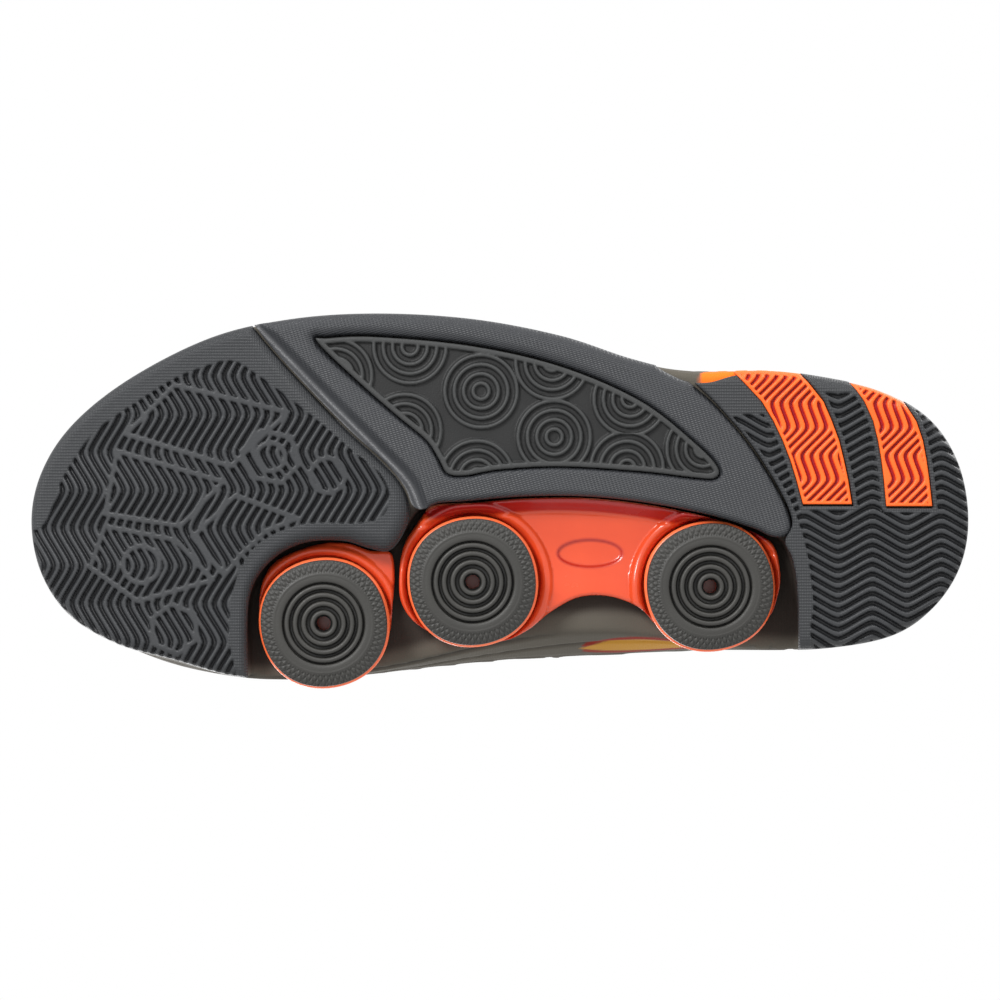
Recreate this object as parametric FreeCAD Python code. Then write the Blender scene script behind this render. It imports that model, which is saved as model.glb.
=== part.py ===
"""Left basketball high top, about a men's US 9.5, as its separate pieces.

Frame: +X points to the toe, +Y to the outer (lateral) side, +Z up. The origin is at the centre of the
footprint on the ground. Units are millimetres. Each piece is written to parts/NAME.step.

The shoe has two halves. The sole unit is stacked from extruded outlines, cut to the bottom and top
profiles that give it its toe spring. The upper is a set of thick patches laid on one surface, which
runs from the feather line, where the upper meets the sole, to the throat and collar edge.
"""
import FreeCAD
import Part
from FreeCAD import Vector

import math
import os

# ---- driving dimensions ----
RUBBER = 5.0            # thickness of the ground rubber
SPRING_START_X = 80.0   # the sole is flat on the ground behind this
SPRING_RISE = 14.0      # height of the toe tip above the ground
TOE_X = 152.0
BALL_STACK = 22.0       # height of the foot's bed at the ball
HEEL_STACK = 30.0       # and at the heel
SIDEWALL = 8.0          # how far the midsole cups up round the upper
CENTRE_Y = -4.0         # the foot's own centre line
POD_RADIUS = 20.8
POD_CAP = 6.0           # height of a pod's rubber cap
CARRIER_LOW = 13.0      # the carriers' underside, where the cushions end
CARRIER_TOP = 16.0
PODS = {"ball": (57.4, -40.2), "arch": (8.9, -26.7), "heel": (-68.5, -28.2)}
SKIN = 2.0              # thickness of the upper's base panels
GAP = 0.2               # between layers that lie on each other
OVERLAY = 1.2
TALL = 90.0             # taller than any sole piece

# Outlines seen from above, from the toe round the lateral side, as (x, y).
SOLE = [(152, -6), (148, 10), (138, 25), (120, 39.7), (94, 53), (68, 59), (40, 60.8), (9, 59), (-20, 53.5),
        (-43, 46), (-62, 42), (-85, 42.4), (-104, 40.4), (-124, 35.7), (-140, 26.5), (-149.5, 12),
        (-152.8, -6), (-150, -22), (-141, -35.5), (-127, -44.6), (-104, -48.6), (-84, -48), (-58, -43),
        (-34, -40), (-10, -42), (14, -47.5), (36, -53.5), (60, -57.6), (84, -57.8), (107, -52), (125, -46.5), (140, -37),
        (149, -23)]
# The notch that the forefoot rubber leaves for the ball pod, and the flex groove beside it.
FORE_INNER = [(82, -60), (82.4, -42), (81.5, -31), (78, -23.5), (71, -17), (62, -13.6), (51, -13.4), (42, -16),
              (36, -16.5), (31.5, -11), (29.5, -4), (31.5, 4), (38, 12), (50, 23), (65, 38.5), (77, 52), (86, 62)]
MID_GROOVE = [(80, 62), (73, 53), (61, 39.5), (46.5, 24.5), (35, 13), (28, 5), (24, -1.5)]
MID_INNER = [(24, -1.5), (12, -0.4), (-8, 1.2), (-28, 1.2), (-48, -0.9), (-68, -4.8), (-82, -9), (-91, -12.5)]
MID_HEEL = [(-91, -12.5), (-95, -8), (-90.5, 3), (-81, 18), (-70, 31), (-56, 45)]
HEEL_SEAM = [(-55, 48), (-70.4, 31.4), (-81.4, 18.4), (-91, 3.2), (-95.8, -8), (-92.6, -13.6), (-95.2, -20),
             (-97, -33), (-97.6, -53)]
RECESS = [(83, -66), (82.6, -42), (81.7, -31), (78, -23.3), (71, -16.8), (62, -13.2), (51, -13), (42, -15.6),
          (35.6, -16), (31, -10), (25, -2), (12, 0), (-8, 1.6), (-28, 1.6), (-48, -0.5), (-68, -4.4), (-82, -8.6),
          (-91, -12.3), (-94.9, -20), (-97.2, -33), (-98, -66)]
RING_INSERT = [(58.5, 52.2), (40, 53), (9, 50), (-20, 43.3), (-46, 32), (-65, 17), (-71, 10.6), (-66, 8.2),
               (-46, 9.3), (-20, 10.7), (0, 9.9), (13, 8.2), (18, 9.4), (22.4, 17.4), (32, 27), (45, 38.7)]
CHASSIS = [(32.5, -26), (30.5, -16), (24, -7), (12, -3), (-10, -1.2), (-35, -1.2), (-60, -4.8), (-80, -10.2),
           (-88.5, -16), (-90.6, -28), (-87, -39), (-76, -46.5), (-62, -46.5), (-52, -40), (-42, -34),
           (-30, -32), (-20, -34), (-11, -41), (0, -46), (14, -46.5), (26, -41), (31.5, -34)]
BRIDGE = [(-8, -7), (-20, -3.5), (-42, -4), (-51, -9), (-45.5, -21), (-43, -30), (-29, -28.5), (-16, -31),
          (-14.5, -21)]
BALL_CARRIER = [(71, -18.6), (58, -14.6), (45, -15.6), (42, -24), (37.5, -34), (38, -46), (45, -55),
                (57, -59), (69, -56), (76, -47), (77, -35), (73.5, -25)]
HEEL_INSERTS = {"front": [(-79.5, 38), (-91, 20), (-98.2, -2.6), (-115, -2.6), (-110, 20), (-102, 38)],
                "rear": [(-113, 38), (-122.6, 20), (-125.5, -3.2), (-140.6, -3.2), (-137, 20), (-128, 34)]}

# Sixteen to twenty places round the upper: where it leaves the sole (x, y), where it ends at the throat or
# collar (x, y from the centre line, z), and how the line between them bulges (out and up at the bottom,
# out and down at the top).
LATERAL = [((141, -6), (64, 0, 72), (4, 18, 36, 5)),
           ((134, 14), (62, 8, 73), (4, 18, 30, 5)),
           ((112, 34), (55, 14, 76.5), (4, 20, 22, 5)),
           ((78, 47), (41, 17, 85), (4, 22, 18, 6)),
           ((40, 49), (22, 19, 98), (4, 26, 15, 12)),
           ((5, 44), (0, 21, 115), (6, 34, 13, 26)),
           ((-32, 37), (-24, 25, 140), (8, 38, 9, 40)),
           ((-70, 34), (-58, 37, 143), (10, 40, 4, 44)),
           ((-104, 32), (-95, 36, 143), (9, 38, 2, 46)),
           ((-131, 19), (-124, 21, 149), (7, 32, 0, 52)),
           ((-144, -4), (-135, 0, 153), (6, 30, -3, 54))]
MEDIAL_FOOT = [(-131, -28), (-104, -40), (-70, -42), (-32, -43), (5, -46), (40, -50), (80, -51), (118, -42),
               (136, -24)]
STATIONS = 20


def spring(x):
    """How far the sole has risen off the ground at x."""
    t = max(0.0, (x - SPRING_START_X) / (TOE_X - SPRING_START_X))
    return SPRING_RISE * t * t


def bed(x):
    """Height of the board that the foot's bed lies on."""
    t = min(1.0, max(0.0, (60.0 - x) / 120.0))
    return BALL_STACK + (HEEL_STACK - BALL_STACK) * t * t * (3 - 2 * t) + spring(x)


# ---- sole unit: extruded outlines cut to a profile ----

def curve(points, closed=True):
    """One smooth edge through (x, y) points at z 0."""
    spline = Part.BSplineCurve()
    spline.interpolate(Points=[Vector(x, y, 0) for x, y in points], PeriodicFlag=closed)
    return spline.toShape()


def column(points, low=-5.0, height=TALL):
    """A column over a smooth closed outline."""
    face = Part.Face(Part.Wire([curve(points)]))
    face.translate(Vector(0, 0, low))
    return face.extrude(Vector(0, 0, height))


def corner_column(chains, low=-5.0, height=TALL):
    """A column over an outline made of open smooth chains, joined at corners by straight lines."""
    edges = []
    for i, chain in enumerate(chains):
        edges.append(curve(chain, closed=False) if len(chain) > 2 else
                     Part.makeLine(Vector(*chain[0], 0), Vector(*chain[1], 0)))
        end, start = chain[-1], chains[(i + 1) % len(chains)][0]
        if math.dist(end, start) > 1e-6:
            edges.append(Part.makeLine(Vector(*end, 0), Vector(*start, 0)))
    face = Part.Face(Part.Wire(edges))
    face.translate(Vector(0, 0, low))
    return face.extrude(Vector(0, 0, height))


def band(low, high, from_x=-170.0, to_x=170.0, steps=24):
    """Everything between two heights that depend on x only. A level stretch gives a flat face."""
    chains = []
    for height in (low, high):
        level = abs(height(from_x) - height(SPRING_START_X)) < 1e-6
        start = SPRING_START_X if level else from_x
        xs = [start + (to_x - start) * i / steps for i in range(steps + 1)]
        climb = Vector(1, 0, (height(to_x) - height(to_x - 0.01)) / 0.01)
        spline = Part.BSplineCurve()
        spline.interpolate(Points=[Vector(x, -90, height(x)) for x in xs], InitialTangent=Vector(1, 0, 0),
                           FinalTangent=climb)
        chains.append([spline.toShape()])
        if level:
            floor = [Vector(x, -90, height(from_x)) for x in (from_x, start)]
            chains[-1].insert(0, Part.makeLine(*floor))
    ends = [Part.makeLine(Vector(x, -90, low(x)), Vector(x, -90, high(x))) for x in (from_x, to_x)]
    face = Part.Face(Part.Wire(chains[0] + [ends[1]] + chains[1][::-1] + [ends[0]]))
    return face.extrude(Vector(0, 180, 0))


def inset(points, by):
    """An outline moved inwards by a distance, or outwards if it is negative, point by point."""
    moved = []
    for i, (x, y) in enumerate(points):
        (ax, ay), (bx, by_) = points[i - 1], points[(i + 1) % len(points)]
        length = math.hypot(bx - ax, by_ - ay)
        moved.append((x - by * (by_ - ay) / length, y + by * (bx - ax) / length))
    return moved


def foot_outline():
    """The feather line, where the upper meets the sole."""
    return [foot for foot, _, _ in LATERAL] + MEDIAL_FOOT


def sole_block():
    """The whole sole's outer form: rounded in at the ground, and closing on the upper at the top."""
    sections = []
    for z, outline in ((-2, inset(SOLE, 2.2)), (8, inset(SOLE, 0.2)), (32, inset(foot_outline(), -8.0)),
                       (54, inset(foot_outline(), -6.5))):
        wire = Part.Wire([curve(outline)])
        wire.translate(Vector(0, 0, z))
        sections.append(wire)
    return Part.makeLoft(sections, True)


def rubber_piece(footprint):
    """A piece of ground rubber over that footprint, inside the sole's outer form."""
    layer = band(spring, lambda x: RUBBER + spring(x))
    return OUTER.common(footprint).common(layer)


def make_outsole():
    """The ground rubber: three main pieces, and three coloured or ringed inserts set into them."""
    fore = rubber_piece(corner_column([FORE_INNER, [(200, 62), (200, -60)]]))
    ring_pocket = column(RING_INSERT, -1.0, 3.5)
    mid = rubber_piece(corner_column([MID_GROOVE, MID_INNER, MID_HEEL, [(-56, 70), (80, 70)]]))
    heel = rubber_piece(corner_column([HEEL_SEAM, [(-170, -53), (-170, 48)]]))
    inserts = {}
    for name, outline in HEEL_INSERTS.items():
        corners = [Vector(x, y, -1.0) for x, y in outline + outline[:1]]
        block = Part.Face(Part.makePolygon(corners)).extrude(Vector(0, 0, 3.5))
        inserts["heel_insert_" + name] = heel.common(block)
        heel = heel.cut(block)
    pieces = {"outsole_forefoot": fore, "outsole_midfoot": mid.cut(ring_pocket),
              "ring_traction_insert": mid.common(ring_pocket), "outsole_heel": heel}
    pieces.update(inserts)
    return pieces


def make_midsole():
    """The foam between the rubber and the upper, with the bed, the pods' recess and the shank's slot cut out."""
    foam = OUTER.common(band(lambda x: RUBBER + spring(x), lambda x: bed(x) + SIDEWALL))
    skin = [upper_offset(half / 2, 0.07, SKIN + 0.5) for half in range(2 * STATIONS)]
    foot_well = column([(p.x, p.y) for p in skin]).common(band(lambda x: bed(x) - 1.5, lambda x: bed(x) + 40))
    recess = column(RECESS, -5.0, CARRIER_TOP + 5.2)
    return foam.cut(foot_well).cut(recess).cut(make_shank())


def make_shank():
    """A stiff plate in a slot of the midsole, from the heel to behind the ball."""
    outline = [(20, 14), (-10, 14), (-50, 12), (-100, 16), (-118, 4), (-118, -14), (-100, -24), (-50, -16),
               (-10, -16), (20, -14)]
    return column(outline, 18.2, 1.6)


def make_board():
    """The board that the upper is stitched to, and the loose sockliner on it."""
    board = column(inset(foot_outline(), 0.3)).common(band(lambda x: bed(x) - 1.3, lambda x: bed(x) - 0.1))
    liner = column(inset(foot_outline(), 3.4)).common(band(lambda x: bed(x), lambda x: bed(x) + 4.0))
    return {"strobel_board": board, "sockliner": liner}


# ---- pods: turned shapes, each with its axis at the pod's centre ----

def turned(profile, at):
    """A solid turned from a closed (radius, z) profile."""
    face = Part.Face(Part.makePolygon([Vector(r, 0, z) for r, z in profile + profile[:1]]))
    solid = face.revolve(Vector(0, 0, 0), Vector(0, 0, 1), 360)
    solid.translate(Vector(at[0], at[1], 0))
    return solid


def pod_cap(at):
    """Rubber cap with a rounded rim, a centre hole and concentric tread rings."""
    tread = [(2.4, 3.0)]
    for ring in (3.4, 6.1, 8.9, 11.6):
        tread += [(ring - 0.8, 1.4), (ring - 0.6, 0.0), (ring + 0.6, 0.0), (ring + 0.8, 1.4)]
    rim = [(12.9, 0.2), (16.0, 0.2), (18.6, 0.9), (20.2, 2.6), (POD_RADIUS, 5.0), (POD_RADIUS, POD_CAP)]
    return turned([(2.4, POD_CAP)] + tread[1:] + rim, at)


def pod_cushion(at):
    """Hollow bellows between the cap and its carrier."""
    wall = [(12.0, POD_CAP), (20.4, POD_CAP), (21.2, 8.0), (20.2, 9.5), (21.0, 11.2), (20.4, CARRIER_LOW),
            (12.0, CARRIER_LOW), (12.6, 9.5)]
    return turned(wall, at)


def make_pods():
    pieces = {}
    for name, at in PODS.items():
        pieces["pod_cap_" + name] = pod_cap(at)
        pieces["pod_cushion_" + name] = pod_cushion(at)
    plate = column(CHASSIS, CARRIER_LOW, CARRIER_TOP - CARRIER_LOW)
    bridge = column(BRIDGE, 8.5, CARRIER_LOW - 8.5)
    pieces["arch_chassis"] = plate.fuse(bridge).removeSplitter()
    pieces["ball_pod_carrier"] = column(BALL_CARRIER, CARRIER_LOW, CARRIER_TOP - CARRIER_LOW)
    return pieces


# ---- upper: thick patches on one surface ----

def mirror_top(top):
    return (top[0], -top[1], top[2])


def stations():
    """The twenty places round the upper, from the toe round the lateral side and back."""
    found = [(foot, top, bulge) for foot, top, bulge in LATERAL]
    for k, foot in enumerate(MEDIAL_FOOT):
        _, top, bulge = LATERAL[9 - k]
        found.append((foot, mirror_top(top), bulge))
    return found


def between(values, u):
    """Smooth periodic value at u among those at whole numbers."""
    i = math.floor(u)
    t = u - i
    a, b, c, d = (values[(i + k) % len(values)] for k in (-1, 0, 1, 2))
    return 0.5 * (2 * b + (c - a) * t + (2 * a - 5 * b + 4 * c - d) * t * t + (3 * b - a - 3 * c + d) * t ** 3)


PLACES = stations()
TRACKS = [[p[0][0] for p in PLACES], [p[0][1] for p in PLACES], [p[1][0] for p in PLACES],
          [p[1][1] + CENTRE_Y for p in PLACES], [p[1][2] for p in PLACES]]
BULGES = [[p[2][k] for p in PLACES] for k in range(4)]


def upper_point(u, w):
    """The upper's surface: u counts stations round it, and w runs from 0 at the sole to 1 at the top edge."""
    fx, fy, tx, ty, tz = (between(track, u) for track in TRACKS)
    out_low, up, out_high, down = (between(track, u) for track in BULGES)
    along = Vector(between(TRACKS[0], u + 0.05) - between(TRACKS[0], u - 0.05),
                   between(TRACKS[1], u + 0.05) - between(TRACKS[1], u - 0.05), 0)
    out = Vector(along.y, -along.x, 0).normalize()
    foot, top = Vector(fx, fy, bed(fx)), Vector(tx, ty, tz)
    low = foot + out * out_low + Vector(0, 0, up)
    high = top + out * out_high - Vector(0, 0, down)
    v = 1 - w
    return foot * v ** 3 + low * (3 * v * v * w) + high * (3 * v * w * w) + top * w ** 3


def offset_from(surface, s, t, distance):
    """A point that far off a surface, on its outer side."""
    step = 0.02
    across = surface(s + step, t) - surface(s - step, t)
    up = surface(s, t + step) - surface(s, t - step)
    return surface(s, t) + across.cross(up).normalize() * distance


def upper_offset(u, w, distance):
    return offset_from(upper_point, u, w, distance)


def thick_patch(point_at, rows, columns, inner, outer):
    """A solid between two offsets of a surface. point_at takes two shares from 0 to 1, and the offset."""
    surfaces = []
    for offset in (inner, outer):
        grid = [[point_at(i / rows, j / columns, offset) for j in range(columns + 1)] for i in range(rows + 1)]
        surface = Part.BSplineSurface()
        surface.interpolate(grid)
        surfaces.append(surface)
    faces = [surface.toShape() for surface in surfaces]
    for side in range(4):
        edges = []
        for surface in surfaces:
            u0, u1, v0, v1 = surface.bounds()
            line = surface.uIso((u0, u1)[side]) if side < 2 else surface.vIso((v0, v1)[side - 2])
            edges.append(line.toShape())
        faces.append(Part.makeRuledSurface(*edges))
    shell = Part.makeShell(faces)
    shell.sewShape()
    solid = Part.makeSolid(shell.Shells[0] if shell.Shells else shell)
    if solid.Volume < 0:
        solid.reverse()
    return solid


def panel(u_range, w_range, inner, outer, rows=None, columns=10):
    """A panel of the upper over a range of stations and heights. w_range holds numbers or functions of u."""
    u0, u1 = u_range
    rows = rows or max(8, round(abs(u1 - u0) * 5))
    low, high = (w if callable(w) else (lambda u, w=w: w) for w in w_range)

    def at(s, t, offset):
        u = u0 + (u1 - u0) * s
        return upper_offset(u, low(u) + (high(u) - low(u)) * t, offset)

    return thick_patch(at, rows, columns, inner, outer)


VAMP_END = 3.3          # the station where the vamp meets a quarter
QUARTER_END = 8.2       # and where the quarter meets the heel panel
THROAT_END = 6.0        # the top corner of the eyestay


def other_side(u_range):
    """The same stations on the medial side."""
    return (STATIONS - u_range[1], STATIONS - u_range[0])


SIDES = {"lateral": lambda u_range: u_range, "medial": other_side}


def eyestay_edge(u):
    """The eyestay's lower edge, which keeps it about 19 mm wide."""
    if u > STATIONS / 2:
        u = STATIONS - u
    return 0.76 + 0.02 * (u - 2.3)


def arch_between(u_range, low, high):
    """A height that bows from low at both ends of a range to high at its middle."""
    def at(u):
        t = (u - u_range[0]) / (u_range[1] - u_range[0])
        return low + (high - low) * math.sin(math.pi * t)
    return at


def make_upper():
    layer = SKIN + GAP
    eyestay, heel = (2.3, THROAT_END), (QUARTER_END + 0.15, STATIONS - QUARTER_END - 0.15)
    toe = (-3.0, 3.0)
    pieces = {"vamp": panel((-VAMP_END, VAMP_END), (0, 1), 0, SKIN, columns=12),
              "quarter_lateral": panel((VAMP_END, QUARTER_END), (0, 1), 0, SKIN, columns=12),
              "quarter_medial": panel(other_side((VAMP_END, QUARTER_END)), (0, 1), 0, SKIN, columns=12),
              "heel_panel": panel((QUARTER_END, STATIONS - QUARTER_END), (0, 1), 0, SKIN, columns=12),
              "toe_cap": panel(toe, (0.19, arch_between(toe, 0.23, 0.47)), layer, layer + OVERLAY),
              "heel_counter": panel(heel, (0.13, arch_between(heel, 0.22, 0.5)), layer, layer + 1.6),
              "backstay": panel((9.4, 10.6), (0.56, 1.0), layer, layer + OVERLAY)}
    for side, turn in SIDES.items():
        accent = turn((5.2, 7.6))
        pieces["eyestay_" + side] = panel(turn(eyestay), (eyestay_edge, 1.0), layer, layer + OVERLAY)
        pieces["accent_panel_" + side] = panel(accent, (0.13, arch_between(accent, 0.17, 0.44)), layer,
                                               layer + OVERLAY)
        pieces["ankle_pad_" + side] = panel(turn((6.6, 8.0)), (0.46, 0.7), -6.5, -GAP, columns=5)
    for name in ("vamp", "quarter_lateral", "quarter_medial", "eyestay_lateral", "eyestay_medial"):
        for punch in eyelet_punches():
            pieces[name] = pieces[name].cut(punch)
    collar = (THROAT_END + 0.3, STATIONS - THROAT_END - 0.3)
    pieces["collar_foam"] = panel(collar, (0.72, 0.985), -8.0, -GAP)
    pieces["collar_lining"] = panel(collar, (0.42, 0.985), -9.3, -8.2)
    pieces["heel_stiffener"] = panel((8.3, 11.7), (0.06, 0.44), -2.0, -GAP)
    pieces["toe_puff"] = panel((-2.2, 2.2), (0.12, 0.45), -1.4, -GAP)
    pieces["vamp_lining"] = panel((-4.6, 4.6), (0.1, 0.7), -3.0, -1.9)
    return pieces


# ---- tongue, laces and hardware ----

TONGUE_FOAM = 6.5
TONGUE_DROP = 2.7       # room under the eyestays for the lace to run in
FLAP_TALL = 34.0        # the tongue's free flap, above the top row of lace
FLAP_SPAN = (0.17, 0.83)    # the share of the tongue's width that the flap rises from
EYELET_STATIONS = (2.75, 3.45, 4.05, 4.6, 5.1, 5.55)
EYELET_W = 0.92
EYELET_HOLE = 2.1
EYELET_FOOT = SKIN + GAP + OVERLAY + 0.1
LACE_THICK = 1.3
LACE_LIFT = EYELET_FOOT + 1.5


def across_throat(u, w, t, offset, fullness):
    """A point on the arch over the foot between the same place on both sides, leaving each along its panel."""
    ends = []
    for station in (STATIONS - u, u):
        edge = upper_offset(station, w, offset)
        ends.append((edge, upper_offset(station, w + 0.05, offset) - edge))
    (start, leave), (end, arrive) = ends
    pull = start.distanceToPoint(end) * fullness
    leave, arrive = leave.normalize() * pull, arrive.normalize() * pull
    return (start * (2 * t ** 3 - 3 * t * t + 1) + leave * (t ** 3 - 2 * t * t + t)
            + end * (3 * t * t - 2 * t ** 3) + arrive * (t * t - t ** 3))


def tongue_point(s, t):
    """The tongue's outer surface: s along it from under the vamp to its hinge, t from 0 to 1 across it."""
    side = 2 * t - 1
    under_vamp = upper_offset(1.5 * side, 0.8, -TONGUE_DROP - 0.6)
    arch = across_throat(2.0 + (THROAT_END - 0.1 - 2.0) * max(s, 0.16), 0.82, t, -TONGUE_DROP, 1.35)
    share = min(1.0, max(0.0, s / 0.16))
    sunk = Vector(0, 0, 4.4 * max(0.0, 1 - s / 0.45))
    return under_vamp * (1 - share) + arch * share - sunk


def flap_point(s, t):
    """The free flap's outer surface, which flattens and leans back as it rises."""
    base, middle = tongue_point(1.0, t), tongue_point(1.0, 0.5)
    flat = Vector(middle.x, CENTRE_Y + (base.y - CENTRE_Y) * 1.5, middle.z)
    edge = abs(2 * t - 1) / (FLAP_SPAN[1] - FLAP_SPAN[0])
    rise = FLAP_TALL * s * (1 - 0.25 * edge ** 5)
    return base * (1 - 0.6 * s) + flat * (0.6 * s) + Vector(5.0 * s * s - 10.0 * s, 0, rise)


def soft_part(surface, s_range, t_range, inner, outer, rows=10, columns=10):
    """A thick patch of the tongue or its flap, whose two directions give a normal that faces the foot."""
    (s0, s1), (t0, t1) = s_range, t_range
    return thick_patch(lambda i, j, offset: offset_from(surface, s0 + (s1 - s0) * i, t0 + (t1 - t0) * j, -offset),
                       rows, columns, inner, outer)


def eyelet_axis(u):
    """Where an eyelet sits on its eyestay, and which way it faces."""
    base = upper_offset(u, EYELET_W, 0.0)
    return base, (upper_offset(u, EYELET_W, 1.0) - base).normalize()


def eyelet_punches():
    """The holes for the lace, through every layer."""
    for u in EYELET_STATIONS:
        for station in (u, STATIONS - u):
            base, normal = eyelet_axis(station)
            yield Part.makeCylinder(EYELET_HOLE, 8.0, base - normal * 3, normal)


def eyelets():
    """Pressed metal rings on both eyestays."""
    rings = []
    for u in EYELET_STATIONS:
        for station in (u, STATIONS - u):
            base, normal = eyelet_axis(station)
            ring = Part.makeCylinder(4.0, 0.8, base + normal * EYELET_FOOT, normal)
            rings.append(ring.cut(Part.makeCylinder(EYELET_HOLE, 9.0, base - normal, normal)))
    return Part.makeCompound(rings)


def lace_row(u):
    """One flat row of lace over the tongue, from eyelet to eyelet."""
    def row_point(i, j):
        width = 6.4 - 2.6 * abs(2 * i - 1) ** 6
        return across_throat(u, EYELET_W, i, LACE_LIFT, 0.82) + along * (width * (j - 0.5))

    along = upper_point(u + 0.1, 1.0) - upper_point(u - 0.1, 1.0)
    along = Vector(along.x, 0, along.z).normalize()
    return thick_patch(lambda i, j, offset: offset_from(row_point, i, j, offset), 10, 2, 0.0, LACE_THICK)


def lace_leg(station):
    """Where the lace goes down through an eyelet."""
    base, normal = eyelet_axis(station)
    return Part.makeCylinder(EYELET_HOLE - 0.3, LACE_LIFT + 2.0, base - normal * 1.4, normal)


def lace_link(start, end, bow):
    """The lace's run between two eyelets, under the eyestay. It bows aside to pass the eyelet between them."""
    def at(i, j, offset):
        u = start + (end - start) * i
        w = EYELET_W + bow * math.sin(math.pi * i) + 0.03 * (j - 0.5)
        return upper_offset(u, w, offset)
    return thick_patch(at, 8, 2, -1.6, -0.4)


def laces():
    """One flat lace in straight bars. Its two ends are tucked in under the upper eyelets."""
    left, right = EYELET_STATIONS, [STATIONS - u for u in EYELET_STATIONS]
    solids = [lace_row(u) for u in left]
    solids += [lace_leg(station) for station in list(left) + right]
    runs = ((left, 0, 1, 0.0), (left, 2, 4, -0.055), (left, 3, 5, 0.055),
            (right, 0, 2, -0.055), (right, 1, 3, 0.055))
    solids += [lace_link(side[a], side[b], bow) for side, a, b, bow in runs]
    lace = solids[0].multiFuse(solids[1:])
    return lace


def pull_tab():
    """A webbing loop on the back of the collar, to pull the shoe on with."""
    low, high, depth, wall, width = 132.0, 166.0, 9.0, 1.8, 15.0
    face_x = min(upper_offset(10, w / 100, SKIN + GAP + OVERLAY + 0.4).x for w in range(80, 101, 2))
    outer = Part.makeBox(depth, width, high - low, Vector(face_x - depth, CENTRE_Y - width / 2, low))
    outer = outer.makeFillet(4.2, [e for e in outer.Edges if abs(e.tangentAt(e.FirstParameter).y) > 0.9])
    hole = Part.makeBox(depth - 2 * wall, width + 2, high - low - 2 * wall,
                        Vector(face_x - depth + wall, CENTRE_Y - width / 2 - 1, low + wall))
    hole = hole.makeFillet(2.4, [e for e in hole.Edges if abs(e.tangentAt(e.FirstParameter).y) > 0.9])
    return outer.cut(hole)


def make_closure():
    return {"tongue": soft_part(tongue_point, (0.0, 0.985), (0, 1), -TONGUE_FOAM, 0.0, rows=14),
            "tongue_top": soft_part(flap_point, (0.03, 1.0), FLAP_SPAN, -TONGUE_FOAM, 0.0),
            "tongue_patch": soft_part(flap_point, (0.4, 0.8), (0.34, 0.66), 0.15, 1.2, rows=6, columns=6),
            "eyelets": eyelets(), "laces": laces(), "pull_tab": pull_tab()}


# ---- write every piece ----

OUTER = sole_block()


def main():
    os.makedirs("parts", exist_ok=True)
    pieces = {}
    for group in (make_outsole(), {"midsole": make_midsole(), "shank_plate": make_shank()}, make_board(),
                  make_pods(), make_upper(), make_closure()):
        pieces.update(group)
    for name, shape in sorted(pieces.items()):
        box = shape.BoundBox
        print(f"{name:22s} solids {len(shape.Solids)} valid {shape.isValid()} cm3 {shape.Volume / 1000:7.2f}  "
              f"x {box.XMin:7.1f} {box.XMax:7.1f}  y {box.YMin:6.1f} {box.YMax:6.1f}  z {box.ZMin:6.1f} {box.ZMax:6.1f}")
        shape.exportStep(f"parts/{name}.step")


main()
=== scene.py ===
import math

import bpy
import bmesh
import numpy as np
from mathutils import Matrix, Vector


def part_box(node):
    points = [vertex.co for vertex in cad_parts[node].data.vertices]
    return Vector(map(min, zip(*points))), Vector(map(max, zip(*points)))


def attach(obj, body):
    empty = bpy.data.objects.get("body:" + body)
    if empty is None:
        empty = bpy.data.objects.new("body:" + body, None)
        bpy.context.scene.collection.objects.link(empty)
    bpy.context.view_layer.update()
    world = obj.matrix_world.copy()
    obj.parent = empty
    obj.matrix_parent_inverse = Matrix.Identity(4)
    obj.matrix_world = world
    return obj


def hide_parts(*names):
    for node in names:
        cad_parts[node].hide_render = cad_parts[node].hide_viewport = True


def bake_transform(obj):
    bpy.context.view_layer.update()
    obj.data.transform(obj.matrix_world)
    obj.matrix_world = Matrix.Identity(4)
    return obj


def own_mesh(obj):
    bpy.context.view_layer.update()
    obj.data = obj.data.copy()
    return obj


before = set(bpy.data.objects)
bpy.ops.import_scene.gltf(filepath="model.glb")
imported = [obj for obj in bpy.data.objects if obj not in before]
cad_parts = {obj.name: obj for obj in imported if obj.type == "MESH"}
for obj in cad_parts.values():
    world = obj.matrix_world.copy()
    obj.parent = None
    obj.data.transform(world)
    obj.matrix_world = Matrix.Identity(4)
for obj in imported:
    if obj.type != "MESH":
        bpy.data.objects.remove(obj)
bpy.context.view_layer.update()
MM = 0.001

# ---- stage ----
# The camera looks straight up at the sole from below, as when a shoe is shown by its tread. The shoe stands
# on a pale studio floor, a one-sided sheet that is clear from underneath.

camera = bpy.data.objects.new("camera", bpy.data.cameras.new("camera"))
bpy.context.scene.collection.objects.link(camera)
camera.data.lens = 144
camera.data.clip_end = 20
camera.location = (0.0, 0.0, -1.30)
camera.rotation_euler = (math.pi, 0.0, math.pi)
bpy.context.scene.camera = camera

bpy.ops.mesh.primitive_plane_add(size=24, location=(0, 0, -0.0006))
floor = bpy.context.object
floor.name = "studio_floor"
floor_paint = bpy.data.materials.new("floor_paint")
floor_paint.use_nodes = True
tree = floor_paint.node_tree
side = tree.nodes.new("ShaderNodeNewGeometry")
clear = tree.nodes.new("ShaderNodeBsdfTransparent")
choose = tree.nodes.new("ShaderNodeMixShader")
matt = tree.nodes["Principled BSDF"]
matt.inputs["Base Color"].default_value = (0.80, 0.80, 0.79, 1)
matt.inputs["Roughness"].default_value = 0.7
tree.links.new(side.outputs["Backfacing"], choose.inputs[0])
tree.links.new(matt.outputs[0], choose.inputs[1])
tree.links.new(clear.outputs[0], choose.inputs[2])
tree.links.new(choose.outputs[0], tree.nodes["Material Output"].inputs[0])
floor.data.materials.append(floor_paint)
floor.visible_shadow = False
floor.visible_diffuse = False
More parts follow.
